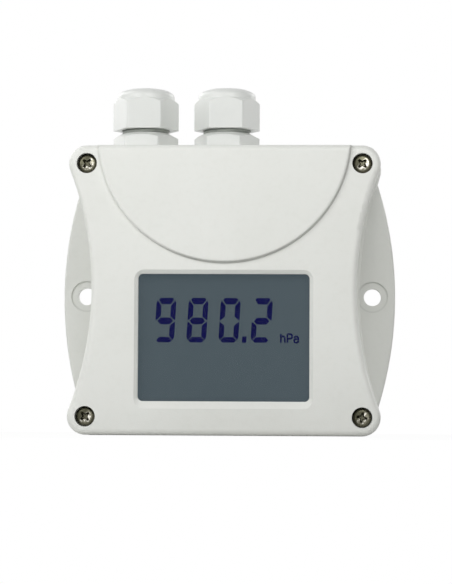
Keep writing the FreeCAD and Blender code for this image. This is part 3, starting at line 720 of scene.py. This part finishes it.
# Painted shade: the thread is the gland's polyamide, darkened to stand in for the shade under the domed nut
SHADED_THREAD = MouldedPlastic("thread_polyamide", (0.38, 0.40, 0.37), 0.40, (0.30, 0.32, 0.29), cell=0.0004)
GLAND_INNER = MouldedPlastic("claw_polyamide", (0.66, 0.67, 0.65), 0.42, (0.60, 0.61, 0.59), cell=0.0004)
WASHER_RUBBER = Rubber("seal_rubber", (0.02, 0.02, 0.022), 0.55, (0.055, 0.055, 0.058))
STRIP_RUBBER = Rubber("strip_rubber", (0.30, 0.29, 0.27), 0.60, (0.04, 0.04, 0.04), cell=0.0004)
# Painted light on the screw heads: shade on the upper left and in the recess, a lit lower right, a crown
# reflection, glints
COVER_PLATING = ScrewPlating(
    "cover_screw_nickel",
    (0.070, 0.068, 0.046),
    0.26,
    node="cover_screws",
    head_radius=2.45 * MM,
    lit_slope=(0.165, 0.158, 0.115),
    crown_reflection=(0.34, 0.325, 0.255),
    crown=1.35 * MM,
)
# The hidden display and board screws get the same painted shade, painted reflection and painted glints.
DISPLAY_PLATING, BOARD_PLATING = (
    ScrewPlating(
        f"{node}_zinc",
        (0.36, 0.36, 0.38),
        0.30,
        node=node,
        head_radius=1.9 * MM,
        lit_slope=(0.45, 0.45, 0.47),
        crown_reflection=(0.66, 0.66, 0.66),
        crown=1.1 * MM,
    )
    for node in ("display_screws", "board_screws")
)
TERMINAL_PLATING = PlatedMetal("terminal_screw_zinc", (0.60, 0.58, 0.50), 0.32, (0.42, 0.40, 0.33))
CONTACT_METAL = PlatedMetal("contact_brass", (0.74, 0.60, 0.30), 0.28, (0.52, 0.40, 0.18))
SENSOR_METAL = PlatedMetal("sensor_can", (0.62, 0.62, 0.61), 0.26, (0.48, 0.48, 0.47))
CAN_METAL = PlatedMetal("capacitor_can", (0.70, 0.70, 0.72), 0.30, (0.55, 0.55, 0.57))
PANE = ClearPane("clear_pane", (0.35, 0.40, 0.42), 0.05, veil=0.012)
# Painted glow: the cell shines in its own colour, though it has no lamp, so that its shading stays even
CELL = LiquidCrystal(
    "lcd_cell",
    (0.0170, 0.0230, 0.0267),
    0.45,
    edge=(0.0180, 0.0240, 0.0277),
    middle=(0.0, 0.0, -12.1 * MM),
    reach=27.0 * MM,
    glow=3.0,
)
INK = CrystalInk("lcd_segment", (0.0018, 0.0018, 0.060), 0.45, (0.0026, 0.0026, 0.068))
FRAME_PLASTIC = MouldedPlastic("frame_black", (0.035, 0.035, 0.037), 0.50, (0.05, 0.05, 0.05))
LINK_PLASTIC = MouldedPlastic("link_black", (0.03, 0.03, 0.03), 0.48, (0.045, 0.045, 0.045))
CHIP_PLASTIC = MouldedPlastic("chip_resin", (0.028, 0.028, 0.03), 0.55, (0.04, 0.04, 0.042), cell=0.00012)
TERMINAL_PLASTIC = MouldedPlastic("terminal_green", (0.03, 0.22, 0.09), 0.42, (0.025, 0.18, 0.075))
BOARD = Laminate("board_laminate", (0.012, 0.11, 0.035), 0.35, (0.03, 0.20, 0.06))


def ring_faces(rings: int, around: int) -> Array:
    """Quads of a tube of rings, each joined to the next and closed round.

    Args:
        rings: How many rings the tube has.
        around: How many points each ring has.

    Returns:
        Corner numbers, one row for each quad.
    """
    row, column = np.meshgrid(np.arange(rings - 1) * around, np.arange(around), indexing="ij")
    after = (column + 1) % around
    corners = (row + column, row + after, row + around + after, row + around + column)
    return np.stack(corners, axis=-1).reshape(-1, 4)


@dataclass
class Surface:
    """Closed tubes that make up one piece: points, and the corner numbers of quads and of end triangles."""

    points: list[Array] = field(default_factory=list)
    quads: list[Array] = field(default_factory=list)
    triangles: list[Array] = field(default_factory=list)

    def add_tube(self, rings: Array) -> None:
        """Add a tube whose ends are closed by fans to the middles of the first and the last ring.

        Args:
            rings: Points as an array of rings by points round a ring by 3.
        """
        count, around, _ = rings.shape
        start = sum(len(block) for block in self.points)
        poles = rings[[0, -1]].mean(axis=1)
        self.points.append(np.concatenate([rings.reshape(-1, 3), poles]))
        self.quads.append(ring_faces(count, around) + start)
        near = np.arange(around)
        after = (near + 1) % around
        last = (count - 1) * around
        first_pole, last_pole = count * around, count * around + 1
        foot = np.stack([after, near, np.full(around, first_pole)], axis=-1)
        head = np.stack([near + last, after + last, np.full(around, last_pole)], axis=-1)
        self.triangles.append(np.concatenate([foot, head]) + start)

    def to_object(self, name: str, finish: Finish, smooth: bool) -> Piece:
        """Mesh object of all tubes, with faces turned outwards.

        Args:
            name: Name of the piece.
            finish: Its finish.
            smooth: Are its faces shaded smooth?

        Returns:
            The object, linked to the scene, with its place in its mesh.
        """
        mesh = bpy.data.meshes.new(name)
        faces = np.concatenate(self.quads).tolist() + np.concatenate(self.triangles).tolist()
        mesh.from_pydata(np.concatenate(self.points).tolist(), [], faces)
        shell = bmesh.new()
        shell.from_mesh(mesh)
        bmesh.ops.recalc_face_normals(shell, faces=shell.faces)
        shell.to_mesh(mesh)
        shell.free()
        mesh.polygons.foreach_set("use_smooth", np.full(len(mesh.polygons), smooth))
        mesh.materials.append(finish.material())
        piece = bpy.data.objects.new(name, mesh)
        bpy.context.scene.collection.objects.link(piece)
        return piece


@dataclass
class SubAssembly:
    """Pieces that are built and dressed together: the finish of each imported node, by its name."""

    finishes: dict[str, Finish]

    def dress(self) -> None:
        """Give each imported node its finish."""
        for node, finish in self.finishes.items():
            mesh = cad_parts[node].data
            mesh.materials.clear()
            mesh.materials.append(finish.material())
            LOG.info("%s: dressed in %s", node, finish.name)

    def piece(
        self, name: str, tubes: Iterable[Array], finish: Finish, slot: str, smooth: bool = False
    ) -> Piece:
        """New piece of closed tubes, which rides on the case.

        Args:
            name: Name of the piece.
            tubes: Points of each tube, as rings by points round a ring by 3.
            finish: Its finish.
            slot: Material slot of the record; not used.
            smooth: Are its faces shaded smooth?

        Returns:
            The object, with its place in its mesh.
        """
        surface = Surface()
        for rings in tubes:
            surface.add_tube(rings)
        made = surface.to_object(name, finish, smooth)
        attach(made, ROOT_BODY)
        return made

    def build(self) -> list[Piece]:
        """New pieces of the sub-assembly, none unless a sub-class makes some."""
        return []


@dataclass
class CaseShell(SubAssembly):
    """Rear housing, front cover and the seal between them."""

    finishes: dict[str, Finish] = field(
        default_factory=lambda: {"rear_housing": HOUSING, "front_cover": COVER, "cover_seal": WASHER_RUBBER}
    )


@dataclass
class CoverScrews(SubAssembly):
    """Four pan-head screws in a rectangle, each with its cross recess turned its own way."""

    finishes: dict[str, Finish] = field(default_factory=lambda: {"cover_screws": COVER_PLATING})
    turns: tuple[float, ...] = (48.0, 45.0, 41.0, -12.0)
    head_radius: float = COVER_PLATING.head_radius
    head_height: float = 1.9 * MM
    edge_round: float = 0.95 * MM
    doming: float = 0.12 * MM
    shank_radius: float = 1.45 * MM
    arm_reach: float = 1.40 * MM
    arm_half: float = 0.28 * MM
    valley: float = 0.66 * MM
    recess_depth: float = 1.0 * MM
    recess_floor: float = 0.5
    recess_steps: tuple[float, ...] = (0.2, 0.4, 0.48, 0.5, 0.53, 0.65, 0.85, 0.95, 0.98, 1.0)
    crown_steps: tuple[float, ...] = (0.04, 0.12, 0.4, 0.7, 1.0)
    edge_start: float = 12.0
    edge_steps: int = 12
    around: int = 160

    def recess_rim(self, angle: Array) -> Array:
        """Distance of the recess's rim from the axis. The angle is folded into half of one arm. Within the
        arm's corner the rim is a straight line square to the arm, and beyond it a straight flank to the
        corner between two arms.

        Args:
            angle: Angles from the first arm.

        Returns:
            Distances, one for each angle.
        """
        fold = np.abs((angle + math.pi / 4) % (math.pi / 2) - math.pi / 4)
        inner = self.valley / math.sqrt(2)
        rise, run = inner - self.arm_half, self.arm_reach - inner
        flank = (rise * self.arm_reach + run * self.arm_half) / (rise * np.cos(fold) + run * np.sin(fold))
        return np.minimum(flank, self.arm_reach / np.cos(fold))

    def screw_rings(self, place: Spot, turn: float) -> Array:
        """Rings of one screw: shares of the rim's distance from the recess's floor up to the rim, from there
        over the crown, which falls with the square of the radius, round the edge on a quarter circle, and
        back to the shank.

        Args:
            place: Where the axis stands, right and up.
            turn: Turn of the cross in degrees.

        Returns:
            Rings by points by 3.
        """
        front, back = (corner[1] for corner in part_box("cover_screws"))
        angle = np.linspace(0.0, math.tau, self.around, endpoint=False)
        rim = self.recess_rim(angle)
        crown = self.head_radius - self.edge_round
        inner, outer = (np.array(steps)[:, None] for steps in (self.recess_steps, self.crown_steps))
        top = np.concatenate([inner * rim, rim + outer * (crown - rim)])
        sunk = np.clip((1.0 - top / rim) / (1.0 - self.recess_floor), 0.0, 1.0) * self.recess_depth
        bend = np.radians(np.linspace(self.edge_start, 90.0, self.edge_steps))
        shank, length = self.shank_radius, back - front
        turned_radius = np.append(
            crown + self.edge_round * np.sin(bend), [self.head_radius, shank, shank, 0.5 * shank]
        )
        turned_depth = np.append(
            self.doming + self.edge_round * (1.0 - np.cos(bend)),
            [self.head_height, self.head_height, length - shank, length],
        )
        radius = np.concatenate([top, np.tile(turned_radius[:, None], self.around)])
        depth = np.concatenate(
            [self.doming * (top / crown) ** 2 + sunk, np.tile(turned_depth[:, None], self.around)]
        )
        heading = angle + math.radians(turn)
        return np.stack(
            [place[0] + radius * np.cos(heading), front + depth, place[1] + radius * np.sin(heading)], axis=-1
        )

    def build(self) -> list[Piece]:
        """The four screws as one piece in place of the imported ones, from the top left to the bottom right.

        Returns:
            The piece.
        """
        middle, half = middle_and_half(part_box("cover_screws"))
        reach = half - self.head_radius
        tubes = [
            self.screw_rings((middle[0] + right * reach[0], middle[2] + above * reach[2]), turn)
            for (right, above), turn in zip(((-1, 1), (1, 1), (-1, -1), (1, -1)), self.turns)
        ]
        screws = self.piece("cross_head_screws", tubes, COVER_PLATING, "screw_steel", smooth=True)
        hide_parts("cover_screws")
        return [screws]


# Corners of the bars on a digit's right side, in millimetres from the digit's middle
UPPER_SIDE = ((2.52, 4.31), (2.24, 5.04), (1.20, 3.64), (1.20, 1.00), (2.25, 0.03), (2.52, 0.03))
LOWER_SIDE = ((2.52, -0.50), (2.25, -0.50), (1.20, -1.39), (1.20, -3.95), (2.15, -5.10), (2.52, -4.32))


class Bar(enum.Enum):
    """Bars of a digit: the side that each stands on, and its corners or, on a level bar, its right half's."""

    TOP = (0, ((1.55, 5.66), (1.94, 5.17), (1.16, 4.03)))
    UPPER_LEFT = (-1, UPPER_SIDE)
    UPPER_RIGHT = (1, UPPER_SIDE)
    MIDDLE = (0, ((1.25, 0.65), (1.99, -0.20), (1.19, -1.05)))
    LOWER_LEFT = (-1, LOWER_SIDE)
    LOWER_RIGHT = (1, LOWER_SIDE)
    FOOT = (0, ((1.23, -4.26), (2.00, -5.10), (1.45, -5.66)))

    def outline(self) -> Array:
        """Corners round the bar: one side's own, or a right half and its mirror image.

        Returns:
            Corners by 2, in metres from the digit's middle.
        """
        side, corners = self.value
        right = np.array(corners) * MM
        return right * (side, 1) if side else np.concatenate([right, right[::-1] * (-1, 1)])


LIT_BARS = {
    "0": set(Bar) - {Bar.MIDDLE},
    "2": set(Bar) - {Bar.UPPER_LEFT, Bar.LOWER_RIGHT},
    "8": set(Bar),
    "9": set(Bar) - {Bar.LOWER_LEFT},
}


def straight(start: Spot, end: Spot, count: int = 4) -> Array:
    """Points of a straight stroke, evenly spaced from start to end."""
    return np.linspace(start, end, count)


def bend(centre: Spot, reach: Spot, start: float, end: float, count: int = 14) -> Array:
    """Points of an elliptic stroke: centre plus reach times the cosine and the sine of an angle.

    Args:
        centre: Middle of the ellipse.
        reach: Its half width and half height.
        start: First angle in degrees.
        end: Last angle in degrees.
        count: How many points.

    Returns:
        Points as an array of count by 2.
    """
    angle = np.radians(np.linspace(start, end, count))
    return np.stack([centre[0] + reach[0] * np.cos(angle), centre[1] + reach[1] * np.sin(angle)], axis=-1)


@dataclass
class DisplayStack(SubAssembly):
    """Pane, cell, frame, strips and display board, with the darkened segments on the cell's front."""

    finishes: dict[str, Finish] = field(
        default_factory=lambda: {
            "display_window": PANE,
            "lcd_glass": CELL,
            "contact_strips": STRIP_RUBBER,
            "lcd_frame": FRAME_PLASTIC,
            "display_board": BOARD,
            "display_screws": DISPLAY_PLATING,
        }
    )
    reading: str = "9802"
    first_middle: float = -14.92 * MM
    pitch: float = 8.165 * MM
    middle_height: float = -7.60 * MM
    slant: float = 0.0593
    point_place: Spot = (5.15 * MM, -12.50 * MM)
    point_size: Spot = (1.10 * MM, 1.62 * MM)
    unit_foot: float = -13.24 * MM
    unit_left: float = 14.46 * MM
    unit_tall: float = 2.20 * MM
    unit_low: float = 1.62 * MM
    unit_stroke: float = 0.42 * MM
    ink_height: float = 0.03 * MM
    slab_heights: tuple[float, ...] = (0.0, 0.6, 1.0)
    slab_shares: tuple[float, ...] = (1.0, 1.0, 0.985)
    stroke_across: tuple[float, ...] = (-1.0, -1.0, -0.93, -0.5, 0.0, 0.5, 0.93, 1.0, 1.0, 0.0)
    stroke_heights: tuple[float, ...] = (0.0, 0.7, 1.0, 1.0, 1.0, 1.0, 1.0, 0.7, 0.0, 0.0)

    def lay(self, x: Array, z: Array, height: Array) -> Array:
        """Points on the cell's front, raised from it by a share of the ink's height.

        Args:
            x: Places across the cell.
            z: Places up the cell.
            height: Share of the ink's height, 0 on the cell.

        Returns:
            Points in the frame, one more dimension than x.
        """
        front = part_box("lcd_glass")[0][1]
        y = np.broadcast_to(front - self.ink_height * height, x.shape)
        return np.stack([x, y, z], axis=-1)

    def slab_rings(self, outline: Array, place: Spot) -> Array:
        """Rings of a flat mark: its outline on the cell and again at the ink's height, where it is drawn in a
        little towards its middle. Slanting shifts every point sideways by the slant times its height above
        the place.

        Args:
            outline: Corners round the mark from its own middle, as an array of corners by 2.
            place: Where that middle lies on the cell.

        Returns:
            Rings by points by 3.
        """
        centre = outline.mean(axis=0)
        spread = centre + (outline - centre) * np.array(self.slab_shares)[:, None, None]
        x = place[0] + spread[..., 0] + self.slant * spread[..., 1]
        return self.lay(x, place[1] + spread[..., 1], np.array(self.slab_heights)[:, None])

    def stroke_rings(self, path: Array) -> Array:
        """Rings of one stroke: its section, over the front and back below, stands square to the path's
        central difference.

        Args:
            path: Points of the stroke's middle line, from the unit's left foot.

        Returns:
            Rings by points by 3.
        """
        step = np.gradient(path, axis=0)
        step /= np.linalg.norm(step, axis=1, keepdims=True)
        normal = np.stack([-step[:, 1], step[:, 0]], axis=-1)
        across = np.array(self.stroke_across)[None, :, None] * self.unit_stroke / 2
        x, z = np.moveaxis(path[:, None, :] + normal[:, None, :] * across, -1, 0)
        return self.lay(self.unit_left + x, self.unit_foot + z, np.array(self.stroke_heights))

    def unit_strokes(self) -> list[Array]:
        """Middle lines of the strokes of the pressure unit's three letters.

        Returns:
            Points by 2 of each stroke, in metres from the unit's left foot.
        """
        tall, low = self.unit_tall, self.unit_low
        arch = low * 0.36
        h_right, p_left, p_right, a_left, a_right = (v * MM for v in (1.00, 1.66, 2.87, 3.38, 4.40))
        bowl = tall * 0.27
        return [
            straight((0, 0), (0, tall)),
            np.concatenate(
                [
                    straight((0, low * 0.55), (0, low * 0.62), 2),
                    bend((h_right / 2, low - arch), (h_right / 2, arch), 170, 0),
                    straight((h_right, low * 0.5), (h_right, 0), 3),
                ]
            ),
            straight((p_left, 0), (p_left, 0.99 * tall)),
            np.concatenate(
                [
                    straight((p_left, tall), (p_right - bowl, tall), 3),
                    bend((p_right - bowl, tall - bowl), (bowl, bowl), 80, -80),
                    straight((p_right - bowl, tall - 2 * bowl), (p_left, tall - 2 * bowl), 3),
                ]
            ),
            np.concatenate(
                [
                    bend(((a_left + a_right) / 2, low - arch), ((a_right - a_left) / 2, arch), 165, 0),
                    straight((a_right, low * 0.5), (a_right, 0), 3),
                ]
            ),
            bend(((a_left + a_right) / 2 - 0.02 * MM, low * 0.29), (0.53 * MM, low * 0.29), 60, 350, 22),
        ]

    def build(self) -> list[Piece]:
        """Digits, decimal point and unit of the readout.

        Returns:
            The pieces.
        """
        marks = {}
        for number, digit in enumerate(self.reading):
            place = (self.first_middle + number * self.pitch, self.middle_height)
            bars = [self.slab_rings(bar.outline(), place) for bar in Bar if bar in LIT_BARS[digit]]
            marks[f"readout_digit_{number + 1}"] = bars
        corners = np.array(SQUARE) * self.point_size / 2
        marks["readout_point"] = [self.slab_rings(corners, self.point_place)]
        marks["readout_unit"] = [self.stroke_rings(path) for path in self.unit_strokes()]
        return [self.piece(name, tubes, INK, "lcd_cell") for name, tubes in marks.items()]


@dataclass
class Electronics(SubAssembly):
    """Main board and what stands on it, sealed inside the case."""

    finishes: dict[str, Finish] = field(
        default_factory=lambda: {
            "main_board": BOARD,
            "board_screws": BOARD_PLATING,
            "terminal_block": TERMINAL_PLASTIC,
            "terminal_clamps": CONTACT_METAL,
            "terminal_screws": TERMINAL_PLATING,
            "pressure_sensor": SENSOR_METAL,
            "processor_chip": CHIP_PLASTIC,
            "storage_capacitor": CAN_METAL,
            "link_header": LINK_PLASTIC,
            "link_pins": CONTACT_METAL,
            "link_socket": LINK_PLASTIC,
        }
    )


class Side(enum.Enum):
    """The two cable glands on the case's top."""

    LEFT = "left"
    RIGHT = "right"


@dataclass
class CableGland(SubAssembly):
    """One cable gland: body, washer, locknut, claw, rubber bush, domed nut and the neck's thread."""

    side: Side
    thread_pitch: float = 1.5 * MM
    thread_root: float = 5.87 * MM
    thread_crest: float = 6.26 * MM
    thread_foot: float = 5.2 * MM
    thread_top: float = 10.6 * MM
    ridge: float = 0.745 * MM
    ridge_across: tuple[float, ...] = (-1.0, -0.25, 0.0, 0.25, 1.0, 0.0)
    ridge_out: tuple[float, ...] = (0.0, 1.0, 1.0, 1.0, 0.0, 0.0)
    fade_turns: float = 0.2
    least_rise: float = 0.02
    turn_steps: int = 72

    @classmethod
    def on(cls, side: Side) -> "CableGland":
        """Gland of one side with the finish of each of its nodes.

        Args:
            side: Which gland.

        Returns:
            The sub-assembly.
        """
        finishes = {
            "gland_body": GLAND,
            "gland_washer": WASHER_RUBBER,
            "gland_locknut": GLAND,
            "gland_claw": GLAND_INNER,
            "gland_seal": WASHER_RUBBER,
            "gland_nut": GLAND,
        }
        return cls({f"{side.value}_{node}": finish for node, finish in finishes.items()}, side)

    def thread_rings(self) -> Array:
        """Rings of the neck's thread. A ring is a ridge's section in the plane of the axis. The angle grows
        evenly along the rings, the height grows with it by the pitch for each turn, and the ridge rises from
        the root to the crest within the first part of a turn and sinks again within the last.

        Returns:
            Rings by points by 3.
        """
        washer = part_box(f"{self.side.value}_gland_washer")
        axis, _ = middle_and_half(washer)
        turns = (self.thread_top - self.thread_foot) / self.thread_pitch
        turn = np.linspace(0.0, turns, round(self.turn_steps * turns))[:, None]
        rise = np.clip(np.minimum(turn, turns - turn) / self.fade_turns, self.least_rise, 1.0)
        radius = self.thread_root + (self.thread_crest - self.thread_root) * rise * np.array(self.ridge_out)
        level = self.thread_foot + turn * self.thread_pitch + np.array(self.ridge_across) * rise * self.ridge
        angle = math.tau * turn
        x, y = axis[0] + radius * np.cos(angle), axis[1] + radius * np.sin(angle)
        return np.stack([x, y, washer[0][2] + level], axis=-1)

    def build(self) -> list[Piece]:
        """Thread of the neck, which stays on the case when the nut lifts."""
        name = f"{self.side.value}_neck_thread"
        return [self.piece(name, [self.thread_rings()], SHADED_THREAD, "gland_plastic")]


@dataclass(frozen=True)
class Softbox:
    """Square soft light: its place, its edge, its power in watts and what it looks at."""

    name: str
    place: Place
    edge: float
    power: float
    aim: Place = (0.0, -0.03, 0.0)

    def build(self) -> None:
        """Add the light to the scene."""
        lamp = bpy.data.lights.new(self.name, "AREA")
        lamp.shape = "SQUARE"
        lamp.size = self.edge
        lamp.energy = self.power
        light = bpy.data.objects.new(self.name, lamp)
        light.location = self.place
        light.rotation_euler = (Vector(self.aim) - Vector(self.place)).to_track_quat("-Z", "Y").to_euler()
        light.visible_camera = False
        bpy.context.scene.collection.objects.link(light)


@dataclass
class Studio:
    """Pale floor, soft light and a camera at the photograph's viewing angle."""

    softboxes: tuple[Softbox, ...] = (
        Softbox("right_softbox", (0.057, -0.25, 0.13), 0.12, 0.236),
        Softbox("left_softbox", (-0.13, -0.19, 0.10), 0.12, 0.162),
        Softbox("high_softbox", (-0.25, 0.02, 0.25), 0.20, 0.25),
        Softbox("rear_right_softbox", (0.45, 0.40, 0.28), 0.30, 1.0),
        Softbox("rear_left_softbox", (-0.45, 0.40, 0.28), 0.30, 1.0),
    )
    fill: float = 0.20
    white: float = 1.0
    floor_reach: float = 4.0
    floor_colour: Colour = (0.80, 0.80, 0.79)
    shadow_reach: float = 0.05
    mirror_start: float = 0.86
    mirror_full: float = 0.985
    polish: float = 0.96
    lens: float = 133.91
    sensor: float = 36.0
    offset: Place = (0.00099, 0.58658, -0.00150)
    pitch: float = -3.136
    yaw: float = -2.412
    roll: float = 0.304

    def seen(self, graph: Graph) -> Socket:
        """One for rays that show the background: from the camera, a mirror or clear glass.

        Args:
            graph: Tree that reads it.

        Returns:
            One or zero.
        """
        rays = graph.node("ShaderNodeLightPath").outputs
        mirrored = graph.math("MAXIMUM", rays["Is Glossy Ray"], rays["Is Transmission Ray"])
        return graph.math("MAXIMUM", rays["Is Camera Ray"], mirrored)

    def build_world(self) -> None:
        """White where it is seen, and a plainer level as light."""
        world = bpy.data.worlds.new("studio_white")
        world.use_nodes = True
        graph = Graph(world.node_tree)
        light, shown = (
            graph.node("ShaderNodeBackground", {"Color": WHITE, "Strength": level}).outputs[0]
            for level in (self.fill, self.white)
        )
        both = graph.node("ShaderNodeMixShader", {0: self.seen(graph), 1: light, 2: shown})
        graph.node("ShaderNodeOutputWorld", {"Surface": both.outputs[0]})
        bpy.context.scene.world = world

    def floor_material(self) -> bpy.types.Material:
        """Pale polished floor that turns into the white background away from the object's shadow, and mirrors
        that background where it is seen at a low angle.

        Returns:
            The floor's material.
        """
        made = bpy.data.materials.new("studio_floor")
        made.use_nodes = True
        graph = Graph(made.node_tree)
        middle, half = middle_and_half(CAD_BOX)
        centred = graph.vector("SUBTRACT", graph.place(), tuple(middle))
        x, y, _ = graph.parts(graph.vector("ABSOLUTE", centred))
        beside = graph.math("MAXIMUM", graph.math("SUBTRACT", x, half[0]), 0.0)
        before = graph.math("MAXIMUM", graph.math("SUBTRACT", y, half[1]), 0.0)
        facing = graph.node("ShaderNodeLayerWeight", {"Blend": 0.5}).outputs["Facing"]
        mirrored = graph.ramp(facing, self.mirror_start, self.mirror_full, 0.0, self.polish)
        away = graph.ramp(graph.far(beside, before), 0.0, self.shadow_reach)
        open_floor = graph.times(graph.math("MAXIMUM", away, mirrored), self.seen(graph))
        matt = graph.node("ShaderNodeBsdfDiffuse", {"Color": self.floor_colour})
        glow = graph.node("ShaderNodeEmission", {"Color": WHITE, "Strength": self.white})
        both = graph.node("ShaderNodeMixShader", {0: open_floor, 1: matt.outputs[0], 2: glow.outputs[0]})
        graph.node("ShaderNodeOutputMaterial", {"Surface": both.outputs[0]})
        return made

    def build_floor(self) -> None:
        """Flat floor under the lowest point of the object."""
        reach, level = self.floor_reach, CAD_BOX[0][2]
        corners = [(right * reach, back * reach, level) for right, back in SQUARE]
        mesh = bpy.data.meshes.new("floor")
        mesh.from_pydata(corners, [], [(0, 1, 2, 3)])
        mesh.materials.append(self.floor_material())
        floor = bpy.data.objects.new("floor", mesh)
        bpy.context.scene.collection.objects.link(floor)

    def view_axes(self) -> Array:
        """Right, forward and up of the camera: a turn about Z, then a tilt about X, then a roll about Y.

        Returns:
            The three directions as rows.
        """
        roll, tilt, turn = (
            np.array(Matrix.Rotation(math.radians(angle), 3, axis))
            for angle, axis in ((self.roll, "Y"), (self.pitch, "X"), (self.yaw, "Z"))
        )
        return roll @ tilt @ turn

    def build_camera(self) -> None:
        """Camera where the photograph was taken from: the offset is where the frame's origin lies from it, to
        the right, forward and up."""
        right, forward, up = axes = self.view_axes()
        place = -axes.T @ np.array(self.offset)
        pose = np.eye(4)
        pose[:3, :3] = np.stack([right, up, -forward], axis=-1)
        pose[:3, 3] = place
        lens = bpy.data.cameras.new("camera")
        lens.lens = self.lens
        lens.sensor_width = self.sensor
        lens.clip_start = 0.01
        camera = bpy.data.objects.new("camera", lens)
        camera.matrix_world = Matrix(pose.tolist())
        bpy.context.scene.collection.objects.link(camera)
        bpy.context.scene.camera = camera

    def build(self) -> None:
        """Everything round the object."""
        bpy.context.scene.view_settings.view_transform = "Standard"
        self.build_camera()
        self.build_world()
        self.build_floor()
        for softbox in self.softboxes:
            softbox.build()


def main() -> None:
    """Build the studio and each sub-assembly in order, and report every piece."""
    logging.basicConfig(level=logging.INFO, format="%(name)s: %(message)s")
    Studio().build()
    glands = [CableGland.on(side) for side in Side]
    for assembly in (CaseShell(), CoverScrews(), DisplayStack(), Electronics(), *glands):
        assembly.dress()
        for piece in assembly.build():
            LOG.info("%s: %d faces", piece.name, len(piece.data.polygons))


if __name__ == "__main__":
    main()
